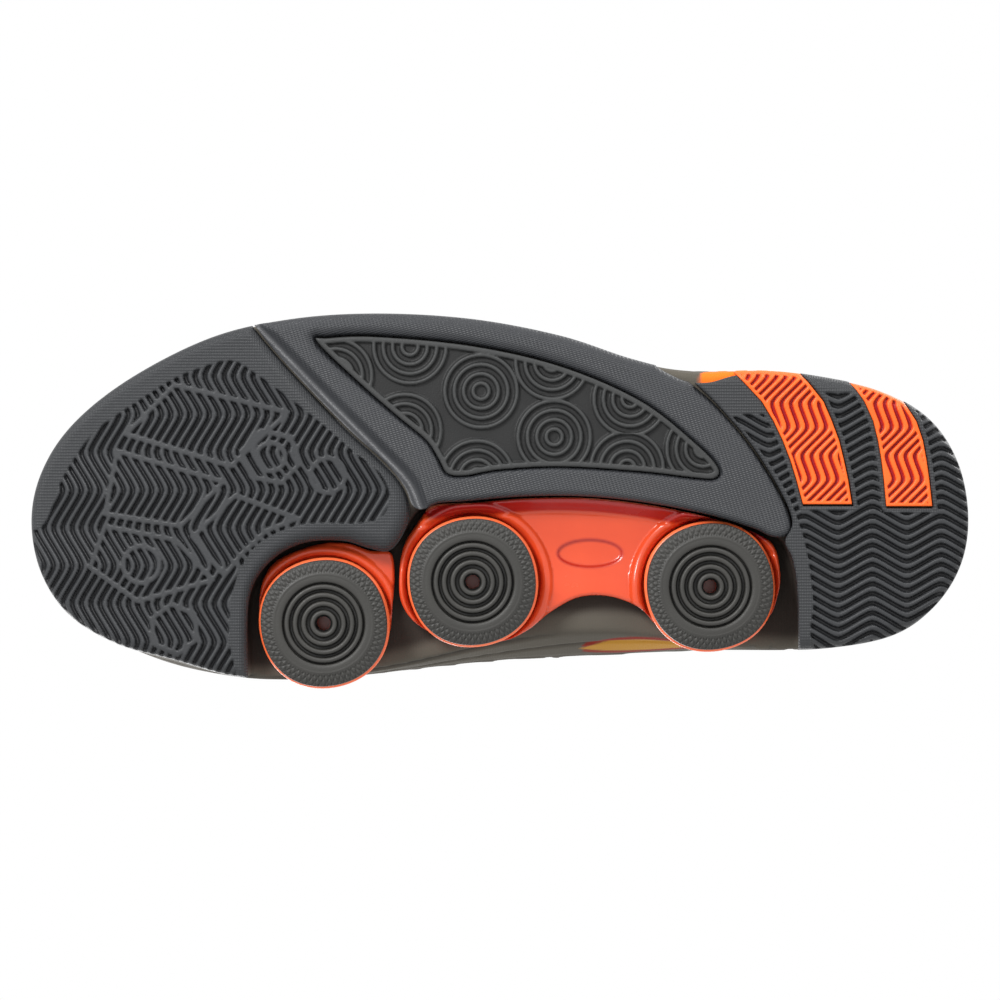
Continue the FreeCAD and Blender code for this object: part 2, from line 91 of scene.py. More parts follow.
floor.visible_glossy = False

sky = bpy.data.worlds.new("studio_air")
bpy.context.scene.world = sky
sky.use_nodes = True
sky.node_tree.nodes["Background"].inputs[0].default_value = (1.0, 1.0, 1.0, 1)
sky.node_tree.nodes["Background"].inputs[1].default_value = 1.0


def lamp(name, at, aim, size, watts):
    data = bpy.data.lights.new(name, "AREA")
    data.shape = "RECTANGLE"
    data.size, data.size_y = size
    data.energy = watts
    light = bpy.data.objects.new(name, data)
    bpy.context.scene.collection.objects.link(light)
    light.location = at
    light.rotation_euler = (Vector(aim) - Vector(at)).to_track_quat("-Z", "Y").to_euler()


lamp("softbox_sole", (0.55, 0.60, -0.80), (0, 0, 0), (0.30, 0.30), 12)
lamp("strip_sole", (-0.35, 0.75, -0.25), (0, 0, 0), (0.5, 0.12), 3)
lamp("softbox_top", (0.5, -0.7, 1.2), (0, 0, 0.08), (0.8, 0.8), 12)
lamp("softbox_back", (-0.8, 0.7, 0.9), (0, 0, 0.08), (0.6, 0.6), 7)
bpy.context.scene.view_settings.view_transform = "Standard"

# ---- ground rubber ----
# Three pieces of dark carbon rubber, pressed in a steel mould with their tread, and cemented to the midsole.
# Their smooth borders carry the mould's fine hatch. The tread's ribs stand 1.8 mm proud of its grooves,
# which are painted darker as shade.

RUBBER, TREAD_DEPTH, RIB_PITCH, SOLE_EDGE = 5.0, 1.8, 3.15, 4.6
SPRING_START_X, SPRING_RISE, TOE_X = 80.0, 14.0, 152.0
SOLE = [(154.4, -6), (150.4, 10.3), (139.6, 25.5), (120.5, 40), (94, 53), (68, 59), (40, 60.8), (9, 59),
        (-20, 53.5), (-43, 46), (-62, 42), (-85, 42.4), (-104, 40.4), (-124, 35.7), (-140, 26.5),
        (-149.5, 12), (-152.8, -6), (-150, -22), (-141, -35.5), (-127, -44.6), (-104, -48.6), (-84, -48),
        (-58, -43), (-34, -40), (-10, -42), (14, -47.5), (36, -53.5), (60, -57.6), (84, -57.8), (107, -52),
        (125.5, -47), (141.6, -37.6), (151.3, -23.4)]


def spring(x):
    """How far the sole has risen off the ground at x."""
    t = np.maximum(0.0, (x - SPRING_START_X) / (TOE_X - SPRING_START_X))
    return SPRING_RISE * t * t


def curve_at(a, b, c, d, t):
    """The place at t of the way from b to c, on a smooth curve through a, b, c and d."""
    cubic = 3 * b - a - 3 * c + d
    return 0.5 * (2 * b + (c - a) * t + (2 * a - 5 * b + 4 * c - d) * t ** 2 + cubic * t ** 3)


def smooth(points, closed=True, steps=10):
    """A smooth line through points, as an array with that many steps between each two."""
    p = np.array(points, float)
    n = len(p)
    if closed:
        a, b, c, d = (np.roll(p, k, axis=0) for k in (1, 0, -1, -2))
    else:
        pad = np.vstack([2 * p[0] - p[1], p, 2 * p[-1] - p[-2]])
        a, b, c, d = (pad[k:k + n - 1] for k in range(4))
    t = (np.arange(steps) / steps)[None, :, None]
    a, b, c, d = (v[:, None, :] for v in (a, b, c, d))
    line = curve_at(a, b, c, d, t).reshape(-1, p.shape[1])
    return line if closed else np.vstack([line, p[-1]])


def to_line(x, y, line, closed=True):
    """Distance from places to a line of points, and the nearest point on it."""
    ends = np.roll(line, -1, axis=0) if closed else line[1:]
    starts = line if closed else line[:-1]
    best = np.full(x.shape, 1e9)
    near_x, near_y = np.zeros(x.shape), np.zeros(x.shape)
    for (ax, ay), (bx, by) in zip(starts, ends):
        run = max((bx - ax) ** 2 + (by - ay) ** 2, 1e-12)
        t = np.clip(((x - ax) * (bx - ax) + (y - ay) * (by - ay)) / run, 0, 1)
        qx, qy = ax + t * (bx - ax), ay + t * (by - ay)
        gap = (x - qx) ** 2 + (y - qy) ** 2
        closer = gap < best
        best = np.where(closer, gap, best)
        near_x, near_y = np.where(closer, qx, near_x), np.where(closer, qy, near_y)
    return np.sqrt(best), near_x, near_y


def inside(x, y, line):
    """Whether places lie within a closed line."""
    odd = np.zeros(x.shape, bool)
    for (ax, ay), (bx, by) in zip(line, np.roll(line, -1, axis=0)):
        if ay == by:
            continue
        odd ^= ((ay > y) != (by > y)) & (x < (bx - ax) * (y - ay) / (by - ay) + ax)
    return odd


def depth_in(x, y, line):
    """How far places lie inside a closed line. It is negative outside."""
    gap, _, _ = to_line(x, y, line)
    return np.where(inside(x, y, line), gap, -gap)


def ease(value, low, high):
    """0 below low, 1 above high, and smooth between."""
    t = np.clip((value - low) / (high - low), 0, 1)
    return t * t * (3 - 2 * t)


def round_off(depth, radius):
    """How far a rounded edge falls away at that depth in from it."""
    t = np.clip(depth, 0, radius) / radius
    return radius * (1 - np.sqrt(np.maximum(0.0, 1 - (1 - t) ** 2)))


def paint(mesh, name, values):
    """Stores a value for each vertex, which a material can read."""
    layer = mesh.attributes.new(name, "FLOAT", "POINT")
    layer.data.foreach_set("value", np.asarray(values, dtype=np.float32))


def solid_of(name, points, faces, smooth_faces=True, marks=None, weld=0.0):
    """An object from points in metres and faces, its normals turned outwards. marks are values to paint."""
    mesh = bpy.data.meshes.new(name)
    mesh.from_pydata(points.tolist(), [], faces)
    for mark, values in (marks or {}).items():
        paint(mesh, mark, values)
    shape = bmesh.new()
    shape.from_mesh(mesh)
    if weld:
        bmesh.ops.dissolve_degenerate(shape, dist=weld, edges=shape.edges)
    bmesh.ops.recalc_face_normals(shape, faces=shape.faces)
    shape.to_mesh(mesh)
    shape.free()
    mesh.polygons.foreach_set("use_smooth", [smooth_faces] * len(mesh.polygons))
    made = bpy.data.objects.new(name, mesh)
    bpy.context.scene.collection.objects.link(made)
    return made


def no_marks(x, y, depth):
    return {}


def moulded(name, line, under, over, pitch=0.45, holes=(), marks=no_marks, span=(-200, 200)):
    """A closed solid over an outline. Its underside follows under(x, y, depth), and its top is over(x, y)."""
    low, high = line.min(axis=0) - pitch, line.max(axis=0) + pitch
    low[0], high[0] = max(low[0], span[0]), min(high[0], span[1])
    xs = np.arange(low[0], high[0] + pitch, pitch)
    ys = np.arange(low[1], high[1] + pitch, pitch)
    x, y = np.meshgrid(xs, ys, indexing="ij")
    gap, near_x, near_y = to_line(x, y, line)
    within = inside(x, y, line)
    depth = np.where(within, gap, -gap)
    for hole in holes:
        hole_gap, hole_x, hole_y = to_line(x, y, hole)
        in_hole = inside(x, y, hole)
        hole_depth = np.where(in_hole, -hole_gap, hole_gap)
        closer = hole_depth < depth
        depth = np.where(closer, hole_depth, depth)
        near_x, near_y = np.where(closer, hole_x, near_x), np.where(closer, hole_y, near_y)
    keep = depth > 0
    cells = keep[:-1, :-1] & keep[1:, :-1] & keep[:-1, 1:] & keep[1:, 1:]
    some = keep[:-1, :-1] | keep[1:, :-1] | keep[:-1, 1:] | keep[1:, 1:]
    nearly = depth > -pitch * 0.72
    fair = nearly[:-1, :-1] & nearly[1:, :-1] & nearly[:-1, 1:] & nearly[1:, 1:]
    cells = cells | (some & fair)
    count = np.zeros(x.shape, int)
    for i, j in ((0, 0), (1, 0), (0, 1), (1, 1)):
        count[i:x.shape[0] - 1 + i, j:x.shape[1] - 1 + j] += cells
    used = count > 0
    snap = used & ((depth < pitch * 0.35) | (count < 4))
    x, y = np.where(snap, near_x, x), np.where(snap, near_y, y)
    depth = np.where(snap, 0.0, depth)
    number = np.full(x.shape, -1)
    number[used] = np.arange(used.sum())
    ci, cj = np.nonzero(cells)
    quads = np.stack([number[ci, cj], number[ci, cj + 1], number[ci + 1, cj + 1], number[ci + 1, cj]], axis=1)
    px, py, pd = x[used], y[used], depth[used]
    bottom = np.stack([px, py, under(px, py, pd)], axis=1)
    top = np.stack([px, py, over(px, py)], axis=1)
    total = len(px)
    order = np.concatenate([quads[:, [k, (k + 1) % 4]] for k in range(4)])
    pairs = np.sort(order, axis=1)
    keys = pairs[:, 0].astype(np.int64) * total + pairs[:, 1]
    _, first, counts = np.unique(keys, return_index=True, return_counts=True)
    border = order[first[counts == 1]]
    walls = np.stack([border[:, 1], border[:, 0], border[:, 0] + total, border[:, 1] + total], axis=1)
    faces = np.vstack([quads, quads[:, ::-1] + total, walls])
    kept = {mark: np.concatenate([values, np.ones(total)]) for mark, values in marks(px, py, pd).items()}
    return solid_of(name, np.vstack([bottom, top]) * MM, faces.tolist(), marks=kept, weld=1e-7)


def coat(piece, material):
    piece.data.materials.append(material)


def fit(piece, body, slot, *nodes):
    """Puts a piece on its body in place of its CAD nodes."""
    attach(piece, body)
    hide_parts(*nodes)


def node(tree, kind, inputs=None, **settings):
    """Adds a shader node. Inputs are values, or the sockets that feed them."""
    made = tree.nodes.new("ShaderNode" + kind)
    for key, value in settings.items():
        setattr(made, key, value)
    for key, value in (inputs or {}).items():
        if isinstance(value, bpy.types.NodeSocket):
            tree.links.new(value, made.inputs[key])
        else:
            made.inputs[key].default_value = value
    return made


def finish_of(name, **constants):
    """A new material: its tree, its shader, and object coordinates in metres."""
    material = bpy.data.materials.new(name)
    material.use_nodes = True
    tree = material.node_tree
    shader = tree.nodes["Principled BSDF"]
    for key, value in constants.items():
        shader.inputs[key.replace("_", " ")].default_value = value
    return material, tree, shader, node(tree, "TexCoord").outputs["Object"]


def noise(tree, place, scale, detail, **more):
    """A soft random tone across space."""
    return node(tree, "TexNoise", {"Vector": place, "Scale": scale, "Detail": detail, **more}).outputs[0]


def feed(tree, shader, **sockets):
    """Joins sockets to the shader's own inputs."""
    for key, socket in sockets.items():
        tree.links.new(socket, shader.inputs[key.replace("_", " ")])


def ripple(tree, place, direction, pitch):
    """A sine across space, from -1 to 1, with that pitch in millimetres."""
    turn = 2 * math.pi / (pitch * MM)
    along = Vector(direction).normalized() * turn
    phase = node(tree, "VectorMath", {0: place, 1: along}, operation="DOT_PRODUCT")
    return node(tree, "Math", {0: phase.outputs["Value"]}, operation="SINE").outputs[0]


def blend_colour(tree, share, one, two):
    mix = node(tree, "Mix", {0: share}, data_type="RGBA")
    for socket, value in ((mix.inputs[6], one), (mix.inputs[7], two)):
        if isinstance(value, bpy.types.NodeSocket):
            tree.links.new(value, socket)
        else:
            socket.default_value = (*value, 1)
    return mix.outputs[2]


def attribute(tree, name):
    return node(tree, "Attribute", attribute_name=name).outputs["Fac"]


def bump(tree, shader, height, depth, strength=1.0):
    rise = node(tree, "Bump", {"Height": height, "Distance": depth * MM, "Strength": strength})
    feed(tree, shader, Normal=rise.outputs[0])


def clouded(tree, shader, tone, one, two, rough=None):
    """Mixes two colours by a tone. rough, if given, is how much the roughness follows it, and from what."""
    feed(tree, shader, Base_Color=blend_colour(tree, tone, one, two))
    if rough:
        feed(tree, shader, Roughness=math_node(tree, "MULTIPLY_ADD", tone, *rough))


def math_node(tree, operation, *values):
    return node(tree, "Math", dict(enumerate(values)), operation=operation).outputs[0]


def rubber_finish(name, colour, groove_shade, hatch_pitch=0.95, rough=0.5, lines=((1, 0.55, 0), (1, -0.55, 0))):
    """Moulded rubber, a little worn: painted darker in its grooves as shade, hatched where its hatch value is
    1.
    """
    material, tree, shader, place = finish_of(name, Specular_IOR_Level=0.36)
    patches = noise(tree, place, 45.0, 5.0, Roughness=0.6)
    grain = noise(tree, place, 2600.0, 2.0)
    worn = blend_colour(tree, patches, tuple(0.80 * c for c in colour), tuple(1.22 * c for c in colour))
    # Painted shade: where the top value falls, in the grooves, the colour darkens towards the groove colour.
    shade = blend_colour(tree, attribute(tree, "top"), groove_shade, worn)
    # Painted highlight: where the shine value is 1, grainy flecks of the rubber are painted light grey.
    glint = math_node(tree, "MULTIPLY", attribute(tree, "shine"), math_node(tree, "POWER", grain, 2.0))
    shade = blend_colour(tree, glint, shade, (0.45, 0.45, 0.46))
    feed(tree, shader, Base_Color=shade,
         Roughness=math_node(tree, "MULTIPLY_ADD", patches, 0.30, rough - 0.15))
    one, two = (ripple(tree, place, direction, hatch_pitch) for direction in lines)
    cross = math_node(tree, "MULTIPLY", math_node(tree, "MULTIPLY", one, two), attribute(tree, "hatch"))
    height = math_node(tree, "ADD", math_node(tree, "MULTIPLY", cross, 0.6),
                       math_node(tree, "MULTIPLY", grain, 0.5))
    bump(tree, shader, height, 0.17, 1.0)
    return material


tread_rubber = rubber_finish("tread_rubber", (0.027, 0.0285, 0.031), (0.004, 0.004, 0.005))


def zigzag(along, across, wave, swing, pitch, duty=0.46):
    """Ribs that run along one way and swing across it in soft-cornered zigzags: 1 on a rib, 0 in a groove."""
    bend = swing / 2 * (2 / math.pi) * np.arcsin(0.91 * np.sin(2 * math.pi * along / wave))
    share = (across + bend) / pitch % 1.0
    return ease(np.abs(2 * share - 1), duty - 0.13, duty + 0.13)


SOLE_LINE = smooth(SOLE)
FORE_SEAM = [(82, -64), (82.4, -42), (81.5, -31), (78, -23.5), (71, -17), (62, -13.6), (51, -13.4), (42, -16),
             (36, -16.5), (31.5, -11), (29.5, -4), (31.5, 4), (38, 12), (50, 23), (65, 38.5), (77, 52),
             (86, 64)]
BEHIND_FORE = np.vstack([smooth(FORE_SEAM, closed=False), [(-220, 64), (-220, -64)]])
FORE_TREAD = smooth([(149.5, -8), (143.2, 7), (133.5, 21), (125, 27.5), (116.5, 33), (107, 38.8), (99, 42.2),
                     (87.5, 45.2), (79, 40.6), (68.6, 33), (57.2, 24), (47.8, 15.7), (39.5, 9), (36, 1.5),
                     (38.5, -5.5), (47, -7.6), (58, -7.4), (68.6, -9), (80, -15.6), (86.5, -28), (88.3, -44),
                     (88, -64), (120, -66), (150, -52), (170, -20), (160, -12)])


def ring_of(sides, centre, radius, turn=0.0, squash=1.0):
    """The corners of an even-sided figure, turned and narrowed."""
    corners = []
    for k in range(sides):
        angle = 2 * math.pi * k / sides
        x, y = radius * math.cos(angle), radius * squash * math.sin(angle)
        corners.append((centre[0] + x * math.cos(turn) - y * math.sin(turn),
                        centre[1] + x * math.sin(turn) + y * math.cos(turn)))
    return np.array(corners)


# Plain raised figures that break up the forefoot's ribs: lozenges, six-sided cells and rings.
FORE_FIGURES = [np.array([(122, 21.5), (106, 37.5), (69, 28.5), (87.5, 11)]),
                np.array([(125, 16), (90, 6), (104, -8.5), (129, -4.5)]),
                np.array([(129, -8.5), (105.5, -13), (93.5, -26), (118, -33), (134, -22)]),
                np.array([(86, 1.5), (100, -12), (89.5, -24.5), (84.5, -18), (76, -10), (66, -6)]),
                ring_of(6, (74.5, 14), 9.8, 0.2, 0.9), ring_of(6, (106, -42), 8.2, 0.4),
                ring_of(40, (74.5, 14), 4.6), ring_of(40, (56, 8), 5.6), ring_of(40, (117, -21), 6.0)]


def fore_top(x, y, depth):
    """1 on the forefoot's ribs, figures and plain border, 0 in its grooves."""
    shift = np.zeros(x.shape)
    lines = np.full(x.shape, 1e9)
    for figure in FORE_FIGURES:
        gap, _, _ = to_line(x, y, figure)
        shift += inside(x, y, figure)
        lines = np.minimum(lines, gap)
    ribs = zigzag(y + 3.0, x + 1.55 * (shift % 2), 24.7, 8.6, RIB_PITCH)
    ribs = np.maximum(ribs, 1 - ease(lines, 0.75, 1.2))
    tread = ease(depth_in(x, y, FORE_TREAD), -0.3, 0.4)
    return ribs * tread + (1 - tread), tread


def fore_under(x, y, depth):
    top, _ = fore_top(x, y, depth)
    soft = 3.4 + 2.2 * ease(x, 95, 40)
    return spring(x) + round_off(depth, soft) * 0.95 + TREAD_DEPTH * (1 - top) * ease(depth, 0.2, 1.6)


def tread_marks(top_of):
    """Marks the ribs' tops, below which the grooves are painted darker as shade, and the plain places that
    carry the hatch.
    """
    def marks(x, y, depth):
        top, tread = top_of(x, y, depth)
        return {"top": 0.25 + 0.75 * top, "hatch": 1 - tread}
    return marks


forefoot = moulded("forefoot_tread", SOLE_LINE, fore_under, lambda x, y: RUBBER + spring(x), 0.42,
                   holes=[BEHIND_FORE], marks=tread_marks(fore_top), span=(26, 156))
coat(forefoot, tread_rubber)
fit(forefoot, "root", "tread_rubber", "outsole_forefoot")

MID_SEAM = [(86, 66), (76.6, 52.4), (64.6, 38.9), (49.6, 23.4), (37.6, 12.4), (31.1, 4.4), (28.4, -1.8),
            (25, -3), (20, -1.0), (12, -0.4), (-8, 1.2), (-28, 1.2), (-48, -0.9), (-68, -4.8), (-82, -9),
            (-89, -12), (-94, -11), (-94.4, -6), (-90.5, 3), (-81, 18), (-70, 31), (-56, 45), (-50, 66)]
MID_LINE = smooth(MID_SEAM, closed=False)
INSERT = smooth([(59.2, 51.2), (56, 52.6), (40, 53), (9, 50), (-20, 43.3), (-46, 32), (-64, 18),
                 (-70.8, 10.6), (-70, 7.2), (-64, 7.2), (-46, 9.3), (-20, 10.9), (0, 9.9), (11, 8), (17, 8.6),
                 (20, 13.5), (24, 19.5), (33, 27), (45, 37.5)])
NOT_MID = np.vstack([MID_LINE, [(-250, 66), (-250, -90), (250, -90), (250, 66)]])
GROOVE_LINE = smooth([(86, 62), (70, 45.5), (55, 30), (41, 16), (31, 5.5), (27, -3)], closed=False)
# On the outer side, ahead of the heel, the rubber is cut back and shows the foam.
CUT_BACK = smooth([(-46, 52), (-50, 44.6), (-56, 40.6), (-62, 38.4), (-68, 38.2), (-75, 40.2), (-82, 41.7),
                   (-90, 46), (-88, 54)])


def mid_under(x, y, depth):
    gap, _, _ = to_line(x, y, GROOVE_LINE, closed=False)
    fall = round_off(depth, 2.2 + 2.0 * ease(y, 20, 50)) * ease(gap, 2.5, 5.0)
    rim = ease(depth_in(x, y, INSERT) + 1.1, 0.0, 0.5)
    channel = 2.5 * (1 - ease(gap, 1.4, 5.0)) - 0.75 * np.exp(-((gap - 1.0) / 0.35) ** 2)
    return fall * 0.9 + 0.55 * rim + np.maximum(channel, 0)


def mid_marks(x, y, depth):
    gap, _, _ = to_line(x, y, GROOVE_LINE, closed=False)
    # shine marks the ridge beside the groove, where a highlight is painted.
    return {"top": np.ones(x.shape), "hatch": ease(gap, 2, 4), "shine": np.exp(-((gap - 1.0) / 0.5) ** 2)}


midfoot = moulded("outrigger_rubber", SOLE_LINE, mid_under, lambda x, y: RUBBER + 0 * x, 0.5,
                  holes=[NOT_MID, INSERT, CUT_BACK], marks=mid_marks, span=(-98, 84))
weave_rubber = rubber_finish("outrigger_rubber", (0.028, 0.0295, 0.033), (0.007, 0.007, 0.008), 1.15, 0.46,
                             ((1, 0.9, 0), (0.25, -1, 0)))
coat(midfoot, weave_rubber)
fit(midfoot, "root", "tread_rubber", "outsole_midfoot")

# ---- ringed traction insert ----
# A leaf-shaped inlay of softer grey rubber, bonded into a shallow pocket of the outrigger. Rings as if from
# drops on water cover it, four ridges to each, and the corners between them are sunk.

RING_CENTRES = [(6.2, 35.4), (-17.6, 20.5), (-42.3, 32.8), (-16.9, 44.6), (-41.3, 10.4), (-66, 16.6),
                (7.5, 7.5), (29.3, 49.8), (31, 22.6), (53.5, 40.5)]
RING_REACH, RING_FIRST, RING_STEP = 13.4, 2.6, 3.05


def nearest(x, y, centres):
    """Distance from places to the nearest of the centres."""
    reach = np.full(x.shape, 1e9)
    for cx, cy in centres:
        reach = np.minimum(reach, np.hypot(x - cx, y - cy))
    return reach


def ring_top(x, y, depth):
    """1 on the rings' ridges and the insert's border, 0 between them."""
    reach = nearest(x, y, RING_CENTRES)
    share = (reach - RING_FIRST) / RING_STEP
    ridge = ease(np.cos(2 * math.pi * share), -0.25, 0.75) * (reach > 0.9)
    ridge = np.where(reach > RING_REACH, 0.0, ridge)
    border = 1 - ease(depth, 1.5, 2.1)
    return np.maximum(ridge, border)


def insert_under(x, y, depth):
    return 0.15 + 1.45 * (1 - ring_top(x, y, depth)) * ease(depth, 0.3, 1.0) + round_off(depth, 0.6)


# The hollows between the rings are painted darker as shade, through the top value.
insert = moulded("ring_insert", INSERT, insert_under, lambda x, y: 2.5 + 0 * x, 0.36,
                 marks=lambda x, y, d: {"top": 0.2 + 0.8 * ring_top(x, y, d), "hatch": 0 * x})
coat(insert, rubber_finish("ring_rubber", (0.031, 0.032, 0.032), (0.004, 0.004, 0.004), rough=0.55))
fit(insert, "root", "ring_rubber", "ring_traction_insert")

# ---- heel rubber and its orange inlays ----
# The heel's tread is dark rubber with ribs that run lengthwise. Two inlays of orange rubber are moulded into
# it first, with their own ribs and grooves, and wrap up over the outer edge. Their grooves are painted dark
# red as shade.

HEEL_SEAM = smooth([(-48, 66), (-56.4, 46), (-70.4, 31.4), (-81.5, 18.4), (-91.1, 3.2), (-95.1, -7),
                    (-92.8, -13.5), (-95.4, -20), (-97, -33), (-97.6, -66)], closed=False)
NOT_HEEL = np.vstack([HEEL_SEAM, [(250, -66), (250, 66)]])
FRONT_INLAY = np.array([(-72, 46), (-84.9, 32.2), (-88.8, 25.7), (-91.9, 19.2), (-94.4, 12.7), (-96.4, 6.2),
                        (-98.6, -2.0), (-114.9, -2.0), (-113.6, 6.2), (-112.2, 12.7), (-110.6, 19.2),
                        (-108.2, 25.7), (-105.4, 32.2), (-100, 39), (-93, 46)])
REAR_INLAY = np.array([(-107, 46), (-115.4, 36.5), (-118.4, 32.2), (-121.3, 25.7), (-122.9, 19.2),
                       (-124, 12.7), (-124.8, 6.2), (-125.6, -2.6), (-140.9, -2.6), (-139.9, 6.2),
                       (-139, 12.7), (-137.8, 19.2), (-135.6, 25.7), (-131, 33), (-122, 46)])
HEEL_TREAD = smooth([(-66, 37), (-76, 37.5), (-90, 39.6), (-100, 60), (-170, 50), (-175, -60), (-120, -62),
                     (-102.5, -48), (-102, -33), (-100.5, -20), (-98, -9.5), (-93, 3), (-84, 17), (-74, 29)])


def heel_top(x, y, depth):
    """1 on the heel's ribs and plain places, 0 in its grooves."""
    ribs = zigzag(x + 3.5, y, 22.4, 7.2, RIB_PITCH)
    tread = ease(depth_in(x, y, HEEL_TREAD), -0.3, 0.4)
    for inlay in (FRONT_INLAY, REAR_INLAY):
        beside = depth_in(x, y, inlay) + 1.8
        tread = tread * (1 - ease(beside, 0.0, 0.5))
    # The ribs stop short of the outer edge ahead of the front inlay, and less so between the two.
    plain_edge = np.where(x > -95, 28.0, np.where(x > -126, 35.0, 60.0))
    tread = tread * (1 - ease(y - plain_edge, -0.6, 0.0))
    return ribs * tread + (1 - tread), tread


def heel_under(x, y, depth):
    top, _ = heel_top(x, y, depth)
    outer = round_off(np.maximum(depth_in(x, y, SOLE_LINE), 0), SOLE_EDGE)
    return outer + round_off(depth, 0.8) * 0.6 + TREAD_DEPTH * (1 - top) * ease(depth, 0.2, 0.9)


heel = moulded("heel_tread", SOLE_LINE, heel_under, lambda x, y: RUBBER + 0.6 + 0 * x, 0.4,
               holes=[NOT_HEEL, FRONT_INLAY, REAR_INLAY, CUT_BACK], marks=tread_marks(heel_top),
               span=(-156, -52))
coat(heel, tread_rubber)
fit(heel, "root", "tread_rubber", "outsole_heel")

# Its grooves take a dark red, painted as shade.
orange_rubber = rubber_finish("orange_rubber", (0.84, 0.120, 0.012), (0.34, 0.003, 0.014), rough=0.42)


def inlay_top(x, y, depth):
    ribs = zigzag(y - 2.0, x + 0.32 * y, 17.0, 6.6, 3.05, 0.42)
    border = 1 - ease(depth, 0.9, 1.3)
    return np.maximum(ribs, border)


def inlay_under(x, y, depth):
    outer = round_off(np.maximum(depth_in(x, y, SOLE_LINE), 0), SOLE_EDGE)
    return (outer + 0.05 + 1.5 * (1 - inlay_top(x, y, depth)) * ease(depth, 0.5, 1.0)
            + round_off(depth, 0.5) * 0.5)


def clipped(line):
    """The part of an inlay that lies on the sole."""
    _, near_x, near_y = to_line(line[:, 0], line[:, 1], SOLE_LINE)
    within = inside(line[:, 0], line[:, 1], SOLE_LINE)
    return np.where(within[:, None], line, np.stack([near_x, near_y], axis=1))


def dense(line, step=1.0):
    """A closed line with more points, about that far apart."""
    points = []
    for a, b in zip(line, np.roll(line, -1, axis=0)):
        count = max(1, int(np.hypot(*(b - a)) / step))
        points += [a + (b - a) * k / count for k in range(count)]
    return np.array(points)


for name, shape, node_name in (("front_inlay", FRONT_INLAY, "heel_insert_front"),
                               ("rear_inlay", REAR_INLAY, "heel_insert_rear")):
    line = clipped(dense(shape))
    centre = line.mean(axis=0)
    line = centre + (line - centre) * 0.975
    inlay = moulded(name, line, inlay_under, lambda x, y: RUBBER + 0.4 + 0 * x, 0.36,
                    marks=lambda x, y, d: {"top": inlay_top(x, y, d), "hatch": 0 * x})
    coat(inlay, orange_rubber)
    fit(inlay, "root", "orange_rubber", node_name)

# ---- arch chassis and ball carrier ----
# One glossy orange moulding holds the arch and heel pods: a saddle floor, raised lips round the pods, and a
# concave wall along the rubber, painted dark red as shade, with a pale painted highlight at the rubber's edge
# and painted shade round the sunk oval. A second small moulding holds the ball pod. Both are glued in.

PODS = {"ball": (57.4, -40.2), "arch": (8.9, -26.7), "heel": (-68.5, -28.2)}
CHASSIS = smooth([(33.0, -26), (31.5, -15), (25.6, -5.5), (21.5, -1.6), (8, -0.8), (-10, 0.6), (-30, 0.6),
                  (-50, -1.8), (-68, -5.6), (-80, -9.4), (-89.2, -14.2), (-91.6, -22), (-91.2, -30),
                  (-87.4, -39.5), (-76, -47), (-62, -47.4), (-52, -41.5), (-45.5, -35.2), (-36, -31.6),
                  (-26, -31.8), (-17, -36.4), (-9, -42.6), (0, -46.5), (14, -47.2), (26, -41.5),
                  (31.9, -34.5)])
OVAL = ring_of(60, (-29.5, -17.5), 10.5, 0.0, 0.42)
WELL_ROOF, CHASSIS_TOP = 13.4, 16.0


def wall_band(x, y):
    """How far a place of the chassis lies from the rubber's edge: the wall painted red as shade is the first
    5 mm or so.
    """
    gap, _, _ = to_line(x, y, MID_LINE, closed=False)
    return gap


def chassis_under(x, y, depth):
    reach = nearest(x, y, PODS.values())
    band = wall_band(x, y)
    saddle = 11.2 + 0.9 * np.cos(np.clip((y + 17) / 14, -1, 1) * math.pi) - 0.6 * ease(np.abs(x + 29), 4, 22)
    wall = (1 - ease(band, 0.2, 5.6)) * ease(x, -90, -72) * (1 - ease(x, 12, 26))
    height = saddle - 4.4 * wall + 0.5 * (1 - ease(np.abs(band - 5.4), 0.1, 1.2))
    lip = np.clip(1 - np.abs(reach - 24.2) / 1.9, 0, 1)
    height = height - 2.0 * np.sqrt(1 - (1 - lip) ** 2)
    well = 1 - ease(reach, 21.6, 22.6)
    sunk = ease(depth_in(x, y, OVAL), -0.3, 0.5) * 0.8
    height = height * (1 - well) + WELL_ROOF * well + sunk
    return height + round_off(depth, 1.2)


def chassis_marks(x, y, depth):
    band = wall_band(x, y)
    ends = ease(x, -92, -78) * (1 - ease(x, 19, 28))
    # Painted shade: a band of the wall from about 1 mm to 5 mm off the rubber's edge, narrowing towards its
    # ends, is painted dark red.
    red = (1 - ease(band, 4.2 * ends + 0.1, 4.9 * ends + 0.6)) * ease(band, 0.5, 1.1)
    # Painted shade: a dark line round the rim of the sunk oval.
    oval = np.clip(1 - np.abs(depth_in(x, y, OVAL)) / 0.9, 0, 1)
    # Painted highlight: a pale line along the rubber's edge, within its first millimetre.
    return {"red": red, "pale": 1 - ease(band, 0.3, 0.9), "dark": oval}


def layered(tree, shade, **layers):
    """Lays further colours over a shade, each where its painted mark is 1."""
    for mark, colour in layers.items():
        shade = blend_colour(tree, attribute(tree, mark), shade, colour)
    return shade


